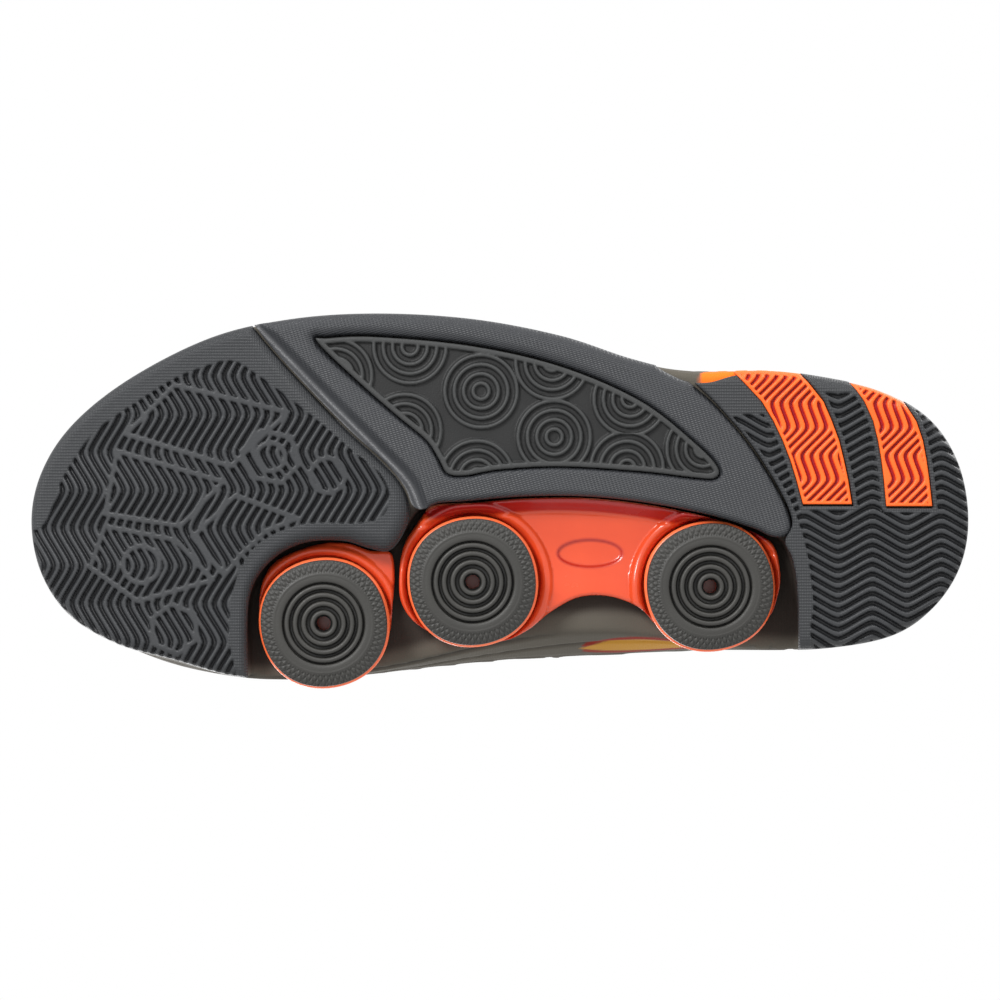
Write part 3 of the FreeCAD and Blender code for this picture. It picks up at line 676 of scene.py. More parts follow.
orange_gloss, tree, shader, place = finish_of("orange_gloss", Specular_IOR_Level=0.55)
patches = noise(tree, place, 60.0, 4.0)
shade = layered(tree, blend_colour(tree, patches, (0.57, 0.052, 0.014), (0.70, 0.074, 0.018)),
                red=(0.36, 0.010, 0.008), pale=(0.95, 0.33, 0.20), dark=(0.36, 0.012, 0.008))
feed(tree, shader, Base_Color=shade, Roughness=math_node(tree, "MULTIPLY_ADD", patches, 0.20, 0.14))
bump(tree, shader, noise(tree, place, 900.0, 2.0), 0.02, 0.5)
chassis = moulded("arch_chassis", CHASSIS, chassis_under, lambda x, y: CHASSIS_TOP + 0 * x, 0.5,
                  marks=chassis_marks)
coat(chassis, orange_gloss)
fit(chassis, "root", "orange_gloss", "arch_chassis")

BALL_CARRIER = smooth([(72.5, -19.4), (60, -14.6), (50, -14.2), (42.5, -16.6), (36.0, -17.2), (34.6, -24),
                       (35.2, -34), (37, -46), (44, -55.5), (56, -60.3), (69, -57.4), (77, -48), (79, -37),
                       (77.6, -26)])


def carrier_under(x, y, depth):
    reach = nearest(x, y, PODS.values())
    lip = np.clip(1 - np.abs(reach - 23.6) / 1.6, 0, 1)
    well = 1 - ease(reach, 21.6, 22.4)
    height = (11.0 - 1.6 * np.sqrt(1 - (1 - lip) ** 2)) * (1 - well) + WELL_ROOF * well
    return height + round_off(depth, 1.0)


carrier = moulded("ball_carrier", BALL_CARRIER, carrier_under, lambda x, y: CHASSIS_TOP + 0 * x, 0.5,
                  marks=lambda x, y, d: {"red": 0 * x, "pale": 0 * x, "dark": 0 * x})
coat(carrier, orange_gloss)
fit(carrier, "root", "orange_gloss", "ball_pod_carrier")

# ---- pod caps and cushions ----
# Three round rubber caps, each on a hollow cushion of orange elastomer that gives 3 mm under the foot. The
# cap has rings round a centre hole, and a knurled outer band. It is bonded to its cushion all the way round.


def turned(name, at, profile, steps, shape=None):
    """A closed ring turned from (radius, height) points. shape(radius, angle, height) can lift its points."""
    profile = np.array(profile, float)
    count = len(profile)
    angle = np.arange(steps) * 2 * math.pi / steps
    r, a = np.meshgrid(profile[:, 0], angle, indexing="ij")
    z = np.repeat(profile[:, 1][:, None], steps, axis=1)
    square = 1 + 0.012 * np.cos(4 * (a - 0.6)) * ease(r, 12, 20)
    x, y = r * square * np.cos(a), r * square * np.sin(a)
    if shape:
        z = z + shape(r, a, z)
    points = np.stack([x + at[0], y + at[1], z], axis=-1).reshape(-1, 3) * MM
    i, j = np.meshgrid(np.arange(count), np.arange(steps), indexing="ij")
    i2, j2 = (i + 1) % count, (j + 1) % steps
    faces = np.stack([i * steps + j, i * steps + j2, i2 * steps + j2, i2 * steps + j], axis=-1).reshape(-1, 4)
    return solid_of(name, points, faces.tolist())


def knurl(r, a, z):
    """Fine crossed cuts on the outer band, on the underside only."""
    under = 1 - ease(z, 3.0, 4.5)
    band = ease(r, 16.6, 17.1) * (1 - ease(r, 20.3, 20.8)) * under
    cross = np.maximum(np.cos(60 * a + 2.1 * r), np.cos(60 * a - 2.1 * r))
    return band * 0.45 * ease(cross, 0.3, 0.9)


cap_profile = [(2.3, 5.9), (2.3, 2.6), (2.6, 1.9)]
for ring in (3.6, 6.5, 9.3, 12.0):
    cap_profile += [(ring - 1.15, 1.85), (ring - 0.85, 1.6), (ring - 0.72, 0.45), (ring - 0.45, 0.06),
                    (ring, 0.0), (ring + 0.45, 0.06), (ring + 0.72, 0.45), (ring + 0.85, 1.6),
                    (ring + 1.15, 1.85)]
cap_profile += [(13.3, 1.5), (13.5, 0.5), (13.9, 0.2), (14.6, 0.12), (15.4, 0.12), (15.9, 0.2), (16.2, 0.05),
                (16.5, 0.3)]
cap_profile += [(16.6 + 0.33 * k, 0.32 + 0.9 * (k / 12) ** 2.2) for k in range(13)]
cap_profile += [(20.72, 2.2), (20.8, 3.4), (20.8, 5.2), (20.6, 5.9), (12, 5.95)]
pod_rubber = rubber_finish("pod_rubber", (0.033, 0.032, 0.029), (0.005, 0.005, 0.0045), rough=0.48)

elastomer, tree, shader, place = finish_of("orange_elastomer", Roughness=0.32, Specular_IOR_Level=0.5)
clouded(tree, shader, noise(tree, place, 80.0, 3.0), (0.80, 0.10, 0.03), (0.98, 0.20, 0.06))

for name, at in PODS.items():
    cap = turned("pod_cap_of_" + name, at, cap_profile, 480, knurl)
    radius = np.hypot(*(np.array([v.co[:2] for v in cap.data.vertices]).T / MM - np.array(at)[:, None]))
    height = np.array([v.co[2] for v in cap.data.vertices]) / MM
    # Painted shade: the hollows between the cap's rings and its centre hole are painted darker.
    paint(cap.data, "top", 1 - 0.8 * ease(height, 0.35, 1.5) * (radius < 15))
    paint(cap.data, "hatch", np.zeros(len(radius)))
    coat(cap, pod_rubber)
    fit(cap, name + "_pod", "pod_rubber", "pod_cap_" + name)
    wall = [(12.0, 6.0), (20.0, 6.0), (21.2, 6.3), (21.6, 7.0), (21.5, 7.9), (20.7, 9.0), (20.4, 9.5),
            (20.7, 10.1), (21.5, 11.2), (21.5, 12.2), (20.6, 13.0), (12.0, 13.0), (12.5, 9.5)]
    cushion = turned("cushion_of_" + name, at, wall, 96)
    coat(cushion, elastomer)
    fit(cushion, "root", "orange_elastomer", "pod_cushion_" + name)
    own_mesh(cushion)

# ---- midsole ----
# One moulding of soft foam, taupe, from the toe to the heel, with a cupped sidewall that the upper is
# cemented into. Its sides carry moulded grooves; the inner side has a silver strip and an ochre panel.

BED_FRONT, BED_HEEL, SIDEWALL = 22.0, 30.0, 8.0


def bed(x):
    """The height of the foot bed at x, which rises to the heel."""
    return BED_FRONT + (BED_HEEL - BED_FRONT) * ease(-x, -60, 60) + spring(x)


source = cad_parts["midsole"]
midsole = bpy.data.objects.new("foam_midsole", source.data.copy())
bpy.context.scene.collection.objects.link(midsole)
remesh = midsole.modifiers.new("even", "REMESH")
remesh.mode = "VOXEL"
remesh.voxel_size = 1.15 * MM
soften = midsole.modifiers.new("soften", "SMOOTH")
soften.factor = 0.6
soften.iterations = 10
graph = bpy.context.evaluated_depsgraph_get()
baked = bpy.data.meshes.new_from_object(midsole.evaluated_get(graph))
midsole.modifiers.clear()
midsole.data = baked
count = len(baked.vertices)
co, no = np.zeros(count * 3), np.zeros(count * 3)
baked.vertices.foreach_get("co", co)
baked.vertices.foreach_get("normal", no)
co, no = co.reshape(-1, 3) / MM, no.reshape(-1, 3)
x, y, z = co.T
gap, _, _ = to_line(x, y, SOLE_LINE)
side = ease(np.hypot(no[:, 0], no[:, 1]), 0.45, 0.75) * ease(gap, 14, 9)
level = (z - (5 + spring(x))) / (bed(x) + SIDEWALL - 5 - spring(x))


def line_at(height, wide):
    """A moulded line round the sidewall at a share of its height: 1 in its middle, 0 beside it."""
    return np.clip(1 - np.abs(level - height) / wide, 0, 1)


sweep = 0.36 + 0.14 * np.sin((x + 20) / 38) + 0.10 * ease(x, 60, 120)
closing = 0.1 * ease(np.abs(x + 20), 20, 110)
flutes = (ease(np.sin(2 * math.pi * x / 6.5), 0.2, 0.9) * ease(level, sweep + 0.03, sweep + 0.07)
          * ease(level, sweep + 0.24 - closing, sweep + 0.18) * ease(x, -60, -75))
cut = (line_at(sweep, 0.045) + 0.7 * line_at(sweep + 0.26 - closing, 0.03) + 0.6 * line_at(0.90, 0.03)
       + 0.5 * flutes)
co -= no * (cut * side)[:, None]
baked.vertices.foreach_set("co", (co * MM).ravel())
baked.update()
baked.polygons.foreach_set("use_smooth", [True] * len(baked.polygons))

# The inner side's silver strip and ochre panel with its dark border, the orange of the outer side, and
# painted shade in the moulded grooves and on the sunk underside.
inner_side, outer_side = ease(-y, 30, 34), ease(y, 24, 30)
blade = np.sin(math.pi * np.clip((x + 52) / 48, 0, 1))
silver = inner_side * ease(blade, 0.10, 0.35) * ease(level, 0.06, 0.12) * ease(0.30 - level, -0.04, 0.04)
slash = np.clip((x + 68) / 42, 0, 1)
wide = 0.17 * np.sin(math.pi * slash) ** 0.7
spare = wide - np.abs(level - (0.62 + 0.18 * (slash - 0.5)))
ochre = inner_side * ease(spare, 0.0, 0.035)
border = inner_side * ease(spare, -0.055, -0.03) * (1 - ochre) * (wide > 0.03)
lean = x + 14 * (level - 0.1)
front_wrap = ease(lean, -102, -101) * ease(-66 - lean, 0, 1) * ease(y, 37.2, 38.0)
rear_wrap = ease(lean, -127, -126) * ease(-109 - lean, 0, 1)
wrap = (front_wrap + rear_wrap) * outer_side * ease(0.34 - level, 0.0, 0.02)
# Painted shade: the foam's underside on the inner half, set in from its edge, is painted dark where it sits
# sunk above the rubber and the pods.
recess = ease(-y, 0, 3) * ease(17.6 - z, 0.0, 1.6) * ease(gap, 1.5, 5.5)
recess = recess * ease(x, -99, -98) * ease(84 - x, 0, 1)
# Painted shade: the sidewall's moulded grooves are painted darker, the further each is cut in.
for mark, values in (("border", border), ("wrap", wrap), ("silver", silver), ("ochre", ochre),
                     ("deep", np.clip(cut * side, 0, 1)), ("recess", recess)):
    paint(baked, mark, values)

foam, tree, shader, place = finish_of("midsole_foam", Roughness=0.75, Specular_IOR_Level=0.12)
cells = node(tree, "TexVoronoi", {"Vector": place, "Scale": 1500.0}).outputs["Distance"]
cloud = noise(tree, place, 50.0, 4.0)
dots = math_node(tree, "MULTIPLY", ripple(tree, place, (1, 0, 1), 1.25),
                 ripple(tree, place, (1, 0, -1), 1.25))
shade = layered(tree, blend_colour(tree, cloud, (0.075, 0.068, 0.055), (0.100, 0.090, 0.074)),
                deep=(0.035, 0.032, 0.028), silver=(0.40, 0.39, 0.39), ochre=(0.40, 0.20, 0.028),
                wrap=(0.86, 0.165, 0.014), border=(0.20, 0.018, 0.010), recess=(0.030, 0.024, 0.020))
feed(tree, shader, Base_Color=shade)
bump(tree, shader, math_node(tree, "MULTIPLY_ADD", dots, 0.5, cells), 0.10, 0.55)
midsole.data.materials.clear()
coat(midsole, foam)
fit(midsole, "root", "midsole_foam", "midsole")

# ---- upper shell ----
# A mesh vamp over the forefoot, two leather quarters and a leather heel panel, all lasted over one foot form
# and stitched to each other. Twenty places round the sole set the form, from the toe round the outer side.

LATERAL = [((141, -6), (64, 0, 72), (4, 18, 36, 5)), ((134, 14), (62, 8, 73), (4, 18, 30, 5)),
           ((112, 34), (55, 14, 76.5), (4, 20, 22, 5)), ((78, 47), (41, 17, 85), (4, 22, 18, 6)),
           ((40, 49), (22, 19, 98), (4, 26, 15, 12)), ((5, 44), (0, 21, 115), (6, 34, 13, 26)),
           ((-32, 37), (-24, 25, 140), (8, 38, 9, 40)), ((-70, 34), (-58, 37, 143), (10, 40, 4, 44)),
           ((-104, 32), (-95, 36, 143), (9, 38, 2, 46)), ((-131, 19), (-124, 21, 149), (7, 32, 0, 52)),
           ((-144, -4), (-135, 0, 153), (6, 30, -3, 54))]
MEDIAL_FOOT = [(-131, -28), (-104, -40), (-70, -42), (-32, -43), (5, -46), (40, -50), (80, -51), (118, -42),
               (136, -24)]
CENTRE_Y, STATIONS, SKIN, GAP, OVERLAY = -4.0, 20, 2.0, 0.2, 1.2
places = [(*foot, top[0], top[1] + CENTRE_Y, top[2], *bulge) for foot, top, bulge in LATERAL]
for k, foot in enumerate(MEDIAL_FOOT):
    _, top, bulge = LATERAL[9 - k]
    places.append((*foot, top[0], CENTRE_Y - top[1], top[2], *bulge))
PLACES = np.array(places, float)


def unit(directions):
    return directions / np.linalg.norm(directions, axis=-1, keepdims=True)


def spread(*values):
    """The values as arrays of numbers, all of one shape."""
    return np.broadcast_arrays(*(np.asarray(v, float) for v in values))


def between(u):
    """The smooth values at u among those at whole numbers, round the whole upper."""
    i = np.floor(u).astype(int)
    t = (u - i)[..., None]
    a, b, c, d = (PLACES[(i + k) % STATIONS] for k in (-1, 0, 1, 2))
    return curve_at(a, b, c, d, t)


def upper_point(u, w):
    """The foot form's surface, in millimetres: w runs from 0 at the sole to 1 at the top edge."""
    u, w = spread(u, w)
    here = between(u)
    along = between(u + 0.05) - between(u - 0.05)
    out = unit(np.stack([along[..., 1], -along[..., 0]], axis=-1))
    out = np.concatenate([out, np.zeros(out.shape[:-1] + (1,))], axis=-1)
    rise = np.zeros(out.shape)
    rise[..., 2] = 1
    foot = np.stack([here[..., 0], here[..., 1], bed(here[..., 0])], axis=-1)
    top = here[..., 2:5]
    low = foot + out * here[..., 5:6] + rise * here[..., 6:7]
    high = top + out * here[..., 7:8] - rise * here[..., 8:9]
    w = w[..., None]
    v = 1 - w
    return foot * v ** 3 + low * (3 * v * v * w) + high * (3 * v * w * w) + top * w ** 3


def offset_from(surface, s, t, distance):
    """Points that far off a surface, on its outer side."""
    step = 0.02
    normal = np.cross(surface(s + step, t) - surface(s - step, t),
                      surface(s, t + step) - surface(s, t - step))
    return surface(s, t) + unit(normal) * np.asarray(distance)[..., None]


def upper_offset(u, w, distance):
    return offset_from(upper_point, u, w, distance)


def lengths(points, axis):
    """Distance in millimetres along a grid of points from its first row or column."""
    steps = np.linalg.norm(np.diff(points, axis=axis), axis=-1)
    zero = np.zeros((1, points.shape[1])) if axis == 0 else np.zeros((points.shape[0], 1))
    return np.cumsum(np.concatenate([zero, steps], axis=axis), axis=axis)


def thick_piece(name, point_at, rows, columns, inner, outer, soft=0.8, relief=None):
    """A closed panel between two offsets of a surface, with rounded edges. relief adds to its outside."""
    s, t = np.meshgrid(np.linspace(0, 1, rows + 1), np.linspace(0, 1, columns + 1), indexing="ij")
    face = point_at(s, t, outer)
    along, across = lengths(face, 0), lengths(face, 1)
    from_edge = np.minimum(np.minimum(along, along[-1:] - along), np.minimum(across, across[:, -1:] - across))
    fall = round_off(from_edge, soft) * min(1.0, (outer - inner) * 0.55 / soft)
    lift = relief(along, across, from_edge) if relief else 0.0
    front = point_at(s, t, outer - fall + lift)
    back = point_at(s, t, inner + fall * 0.5)
    total = (rows + 1) * (columns + 1)
    points = np.concatenate([front.reshape(-1, 3), back.reshape(-1, 3)]) * MM
    number = np.arange(total).reshape(rows + 1, columns + 1)
    quads = np.stack([number[:-1, :-1], number[1:, :-1], number[1:, 1:], number[:-1, 1:]],
                     axis=-1).reshape(-1, 4)
    rim = np.concatenate([number[:-1, 0], number[-1, :-1], number[:0:-1, -1], number[0, :0:-1]])
    after = np.roll(rim, -1)
    walls = np.stack([rim, after, after + total, rim + total], axis=1)
    faces = quads.tolist() + (quads[:, ::-1] + total).tolist() + walls.tolist()
    kept = {"along": along, "across": across, "edge": from_edge}
    return solid_of(name, points, faces, marks={key: np.tile(v.ravel(), 2) for key, v in kept.items()})


def panel(name, u_range, w_range, inner, outer, rows=None, columns=40, soft=0.8, relief=None, per_station=18):
    """A panel of the upper over a range of stations and heights. w_range holds numbers or functions of u."""
    (u0, u1), (low, high) = u_range, (w if callable(w) else (lambda u, w=w: w + 0 * u) for w in w_range)
    rows = rows or int(abs(u1 - u0) * per_station)

    def at(s, t, offset):
        u = u0 + (u1 - u0) * s
        return upper_offset(u, low(u) + (high(u) - low(u)) * t, offset)

    return thick_piece(name, at, rows, columns, inner, outer, soft, relief)


def other_side(u_range):
    return (STATIONS - u_range[1], STATIONS - u_range[0])


SIDES = {"lateral": lambda u_range: u_range, "medial": other_side}
VAMP_END, QUARTER_END, THROAT_END = 3.3, 8.2, 6.0


def leather_finish(name, one, two, rough=0.5, grain=700.0, depth=0.12, **constants):
    """Tumbled leather: small pebbles of grain and slow changes of tone."""
    material, tree, shader, place = finish_of(name, Specular_IOR_Level=0.4, **constants)
    pebbles = node(tree, "TexVoronoi", {"Vector": place, "Scale": grain, "Randomness": 1.0})
    fine = noise(tree, place, 2200.0, 3.0)
    tone = noise(tree, place, 38.0, 5.0, Roughness=0.65)
    clouded(tree, shader, tone, one, two, rough=(0.25, rough - 0.12))
    height = math_node(tree, "MULTIPLY_ADD", fine, 0.35, pebbles.outputs["Distance"])
    bump(tree, shader, height, depth, 0.8)
    return material


def woven_finish(name, one, two, pitch=1.6, depth=0.25, holes=(0.012, 0.012, 0.012), rough=0.8):
    """Spacer mesh or knit: staggered holes between yarns, along the piece's own length and width, painted
    dark as shade.
    """
    material, tree, shader, place = finish_of(name, Specular_IOR_Level=0.25, Sheen_Weight=0.15,
                                              Roughness=rough)
    turn = 2 * math.pi / pitch
    rows = math_node(tree, "SINE", math_node(tree, "MULTIPLY", attribute(tree, "along"), turn))
    columns = math_node(tree, "SINE", math_node(tree, "MULTIPLY", attribute(tree, "across"), turn))
    lattice = math_node(tree, "ABSOLUTE", math_node(tree, "MULTIPLY", rows, columns))
    hole = math_node(tree, "SMOOTH_MIN", math_node(tree, "MULTIPLY", lattice, 1.6), 1.0, 0.1)
    tone = noise(tree, place, 60.0, 4.0)
    fuzz = noise(tree, place, 3000.0, 2.0)
    yarn = blend_colour(tree, tone, one, two)
    # Painted shade: the holes between the yarns are painted in a dark colour.
    feed(tree, shader, Base_Color=blend_colour(tree, hole, yarn, holes))
    height = math_node(tree, "MULTIPLY_ADD", fuzz, 0.25, math_node(tree, "MULTIPLY", hole, -1.0))
    bump(tree, shader, height, depth, 0.9)
    return material


thread_paint, tree, shader, place = finish_of("sewing_thread", Roughness=0.6, Sheen_Weight=0.2)
twist = ripple(tree, place, (1, 1, 1), 0.35)
twist = math_node(tree, "MULTIPLY_ADD", twist, 0.5, 0.5)
clouded(tree, shader, twist, (0.055, 0.05, 0.045), (0.13, 0.12, 0.105))


def stitch_along(made, path, normals, pitch=2.7, length=1.9, radius=0.32):
    """Sews a row of short stitches of thread into a piece, along a path over its surface."""
    run = np.concatenate([[0], np.cumsum(np.linalg.norm(np.diff(path, axis=0), axis=1))])
    places_at = np.arange(pitch / 2, run[-1] - pitch / 2, pitch)
    points, faces = [], []
    spots = [(-1.0, 0.0), (-0.72, 0.8), (0.0, 1.0), (0.72, 0.8), (1.0, 0.0)]
    for here in places_at:
        centre = np.array([np.interp(here, run, path[:, k]) for k in range(3)])
        ahead = np.array([np.interp(here + 0.5, run, path[:, k]) for k in range(3)]) - centre
        ahead = ahead / max(np.linalg.norm(ahead), 1e-9)
        up = np.array([np.interp(here, run, normals[:, k]) for k in range(3)])
        up = up / np.linalg.norm(up)
        beside = np.cross(ahead, up)
        first = len(points)
        for share, wide in spots:
            middle = centre + ahead * (share * length / 2)
            if wide == 0:
                points.append(middle - up * 0.15)
                continue
            for k in range(6):
                angle = math.pi * k / 3
                points.append(middle + (beside * math.cos(angle) + up * math.sin(angle)) * (radius * wide))
        rings = [first + 1, first + 7, first + 13]
        last = first + 19
        for k in range(6):
            n = (k + 1) % 6
            faces.append([first, rings[0] + k, rings[0] + n])
            faces.append([last, rings[2] + n, rings[2] + k])
            for r in rings[:2]:
                faces.append([r + k, r + 6 + k, r + 6 + n, r + n])
    if not points:
        return
    thread = solid_of("thread", np.array(points) * MM, faces)
    join_to(made, thread, thread_paint)


def join_to(made, extra, material):
    """Makes another closed mesh part of a piece, with its own material."""
    if not made.data.materials:
        raise ValueError(made.name + " needs its own material first")
    made.data.materials.append(material)
    index = len(made.data.materials) - 1
    shape = bmesh.new()
    shape.from_mesh(made.data)
    before = len(shape.faces)
    shape.from_mesh(extra.data)
    shape.faces.ensure_lookup_table()
    for face in shape.faces[before:]:
        face.material_index = index
        face.smooth = True
    shape.to_mesh(made.data)
    shape.free()
    bpy.data.objects.remove(extra)


def sew(made, u_range, w, distance, **how):
    """A row of stitches along the upper, at a height w that may follow u."""
    u = np.linspace(*u_range, 160)
    height = w(u) if callable(w) else w
    path = upper_offset(u, height, distance)
    stitch_along(made, path, upper_offset(u, height, distance + 1.0) - path, **how)


def sew_up(made, u, w_range, distance, **how):
    """A row of stitches up the upper at one station."""
    w = np.linspace(*w_range, 120)
    path = upper_offset(u, w, distance)
    stitch_along(made, path, upper_offset(u, w, distance + 1.0) - path, **how)


EYELET_STATIONS = (2.75, 3.45, 4.05, 4.6, 5.1, 5.55)
EYELET_W, EYELET_HOLE, TOP_STITCH_W = 0.92, 2.1, 0.972


def eyelet_axis(u):
    """The middle of an eyelet at a station, and the way it points."""
    base, tip = (upper_offset(np.array([float(u)]), EYELET_W, distance)[0] for distance in (0.0, 1.0))
    normal = tip - base
    return base, normal / np.linalg.norm(normal)


def rings_round(axis, rings, count, capped, first=0):
    """Points and faces of (radius, lift) rings on an axis, capped at the ends or closed into a loop."""
    base, normal = axis
    side = np.cross(normal, (0.0, 0.0, 1.0))
    side = side / np.linalg.norm(side)
    turns = [2 * math.pi * k / count for k in range(count)]
    other = np.cross(normal, side)
    spokes = [side * math.cos(a) + other * math.sin(a) for a in turns]
    points = [base + normal * lift + spoke * radius for radius, lift in rings for spoke in spokes]
    faces = []
    for i in range(len(rings) - capped):
        near, far = first + i * count, first + (i + 1) % len(rings) * count
        for k in range(count):
            n = (k + 1) % count
            faces.append([near + k, near + n, far + n, far + k])
    if capped:
        last = first + (len(rings) - 1) * count
        faces += [list(range(first, first + count)), list(range(last, last + count))[::-1]]
    return points, faces


def punch(made, side):
    """Cuts the lace's six holes through a piece."""
    points, faces = [], []
    for u in EYELET_STATIONS:
        axis = eyelet_axis(u if side == "lateral" else STATIONS - u)
        more = rings_round(axis, [(EYELET_HOLE, -3.0), (EYELET_HOLE, 6.5)], 24, True, len(points))
        points, faces = points + more[0], faces + more[1]
    cutter = solid_of("cutter", np.array(points) * MM, faces, smooth_faces=False)
    cut = made.modifiers.new("holes", "BOOLEAN")
    cut.operation, cut.solver, cut.object = "DIFFERENCE", "EXACT", cutter
    made.data = bpy.data.meshes.new_from_object(made.evaluated_get(bpy.context.evaluated_depsgraph_get()))
    made.modifiers.clear()
    bpy.data.objects.remove(cutter)


vamp_mesh = woven_finish("vamp_mesh", (0.085, 0.078, 0.066), (0.115, 0.105, 0.090), 2.0, 0.30)
leather = leather_finish("upper_leather", (0.098, 0.090, 0.076), (0.130, 0.120, 0.102), 0.5)


def flex(along, across, from_edge):
    """Soft creases where the foot bends."""
    return 0.35 * np.sin(along / 9.0 + across / 30.0) * ease(from_edge, 3, 16)


def padded_collar(span):
    """Foam behind the leather swells it out between a seam and the top edge, but not at the backstay."""
    def relief(along, across, from_edge):
        u = np.linspace(*span, along.shape[0])[:, None]
        u = np.minimum(u, STATIONS - u)
        w = np.linspace(0, 1, along.shape[1])[None, :]
        reach = ease(u, 6.25, 6.7) * (1 - ease(u, 8.9, 9.3))
        swell = np.sin(math.pi * np.clip((w - 0.735) / 0.225, 0, 1)) ** 0.7
        seam = np.exp(-((w - 0.725) / 0.006) ** 2)
        return reach * (1.7 * swell - 0.7 * seam)
    return relief


vamp = panel("mesh_vamp", (-VAMP_END, VAMP_END), (0.0, 1.0), 0.0, SKIN, columns=90, relief=flex)
coat(vamp, vamp_mesh)
for side in SIDES:
    punch(vamp, side)
fit(vamp, "root", "vamp_mesh", "vamp")

for side, turn in SIDES.items():
    span = turn((VAMP_END, QUARTER_END))
    quarter = panel("leather_quarter_" + side, span, (0.0, 1.0), 0.0, SKIN, columns=130,
                    relief=padded_collar(span))
    coat(quarter, leather)
    punch(quarter, side)
    front, back = (span[0], span[1]) if side == "lateral" else (span[1], span[0])
    inward = 1 if side == "lateral" else -1
    for offset in (0.06, 0.13):
        sew_up(quarter, front + inward * offset, (0.14, 0.74), SKIN)
        sew_up(quarter, back - inward * offset, (0.52, 0.97), SKIN)
    from_low, from_high = (0.3, 0.1) if side == "lateral" else (0.1, 0.3)
    sew(quarter, (min(span) + from_low, max(span) - from_high),
        lambda u: np.where(np.minimum(u, STATIONS - u) > THROAT_END, TOP_STITCH_W, 0.70), SKIN)
    fit(quarter, "root", "upper_leather", "quarter_" + side)

heel_span = (QUARTER_END, STATIONS - QUARTER_END)
heel_panel = panel("leather_heel", heel_span, (0.0, 1.0), 0.0, SKIN, columns=130,
                   relief=padded_collar(heel_span))
coat(heel_panel, leather)
sew(heel_panel, (QUARTER_END + 0.1, STATIONS - QUARTER_END - 0.1), TOP_STITCH_W, SKIN)
fit(heel_panel, "root", "upper_leather", "heel_panel")

# ---- overlays ----
# Suede toe cap, leather eyestays, a moulded heel counter, a webbing backstay, and on each side one leaf of
# ochre leather with red-brown piping. All are cut flat, skived at the edges, glued and sewn down.

LAYER = SKIN + GAP


def arch_between(u_range, low, high):
    return lambda u: low + (high - low) * np.sin(math.pi * (u - u_range[0]) / (u_range[1] - u_range[0]))


def eyestay_edge(u):
    return 0.76 + 0.02 * (np.minimum(u, STATIONS - u) - 2.3)


suede, tree, shader, place = finish_of("overlay_suede", Roughness=0.92, Sheen_Weight=0.35,
                                       Specular_IOR_Level=0.15)
nap = noise(tree, place, 1800.0, 4.0)
cloud = noise(tree, place, 70.0, 5.0, Distortion=1.2)
clouded(tree, shader, cloud, (0.060, 0.057, 0.052), (0.100, 0.094, 0.084))
bump(tree, shader, nap, 0.15, 0.9)

toe = (-3.0, 3.0)
toe_top = arch_between(toe, 0.23, 0.47)
cap_piece = panel("suede_toe_cap", toe, (0.19, toe_top), LAYER, LAYER + OVERLAY, columns=40)
coat(cap_piece, suede)
for inset_by in (0.020, 0.036):
    sew(cap_piece, (-2.85, 2.85), lambda u, by=inset_by: toe_top(u) - by, LAYER + OVERLAY)
fit(cap_piece, "root", "overlay_suede", "toe_cap")

eyestay_leather = leather_finish("eyestay_leather", (0.045, 0.044, 0.043), (0.066, 0.064, 0.062),
                                 0.42, 900.0, 0.09)
for side, turn in SIDES.items():
    span = turn((2.3, THROAT_END))
    eyestay = panel("eyestay_of_" + side + "_side", span, (eyestay_edge, 1.0), LAYER, LAYER + OVERLAY,
                    columns=40)
    coat(eyestay, eyestay_leather)
    punch(eyestay, side)
    for by in (0.014, 0.034):
        sew(eyestay, (span[0] + 0.08, span[1] - 0.08), lambda u, by=by: eyestay_edge(u) + by, LAYER + OVERLAY)
    sew(eyestay, (span[0] + 0.08, span[1] - 0.08), 0.982, LAYER + OVERLAY)
    fit(eyestay, "root", "eyestay_leather", "eyestay_" + side)

plastic, tree, shader, place = finish_of("counter_plastic", Specular_IOR_Level=0.5)
cloud = noise(tree, place, 55.0, 4.0)
spark = node(tree, "TexVoronoi", {"Vector": place, "Scale": 1800.0}).outputs["Distance"]
clouded(tree, shader, cloud, (0.040, 0.041, 0.044), (0.058, 0.060, 0.064), rough=(0.2, 0.28))
bump(tree, shader, spark, 0.05, 0.6)
counter_span = (QUARTER_END + 0.15, STATIONS - QUARTER_END - 0.15)


def ribbed(along, across, from_edge):
    """Three moulded steps that follow the counter's border."""
    steps = sum(ease(from_edge, at, at + 0.8) for at in (3.0, 6.5, 10.0))
    return 0.33 * steps - 0.3


counter = panel("heel_counter_shell", counter_span, (0.13, arch_between(counter_span, 0.22, 0.5)), LAYER,
                LAYER + 1.6, columns=70, relief=ribbed, per_station=40)
coat(counter, plastic)
fit(counter, "root", "counter_plastic", "heel_counter")

webbing = woven_finish("webbing", (0.050, 0.049, 0.047), (0.080, 0.078, 0.074), 1.3, 0.30, (0.02, 0.02, 0.02))
backstay = panel("webbing_backstay", (9.4, 10.6), (0.56, 1.0), LAYER, LAYER + OVERLAY, columns=70,
                 per_station=40)
coat(backstay, webbing)
sew_up(backstay, 9.47, (0.57, 0.985), LAYER + OVERLAY)
sew_up(backstay, 10.53, (0.57, 0.985), LAYER + OVERLAY)
fit(backstay, "root", "webbing", "backstay")

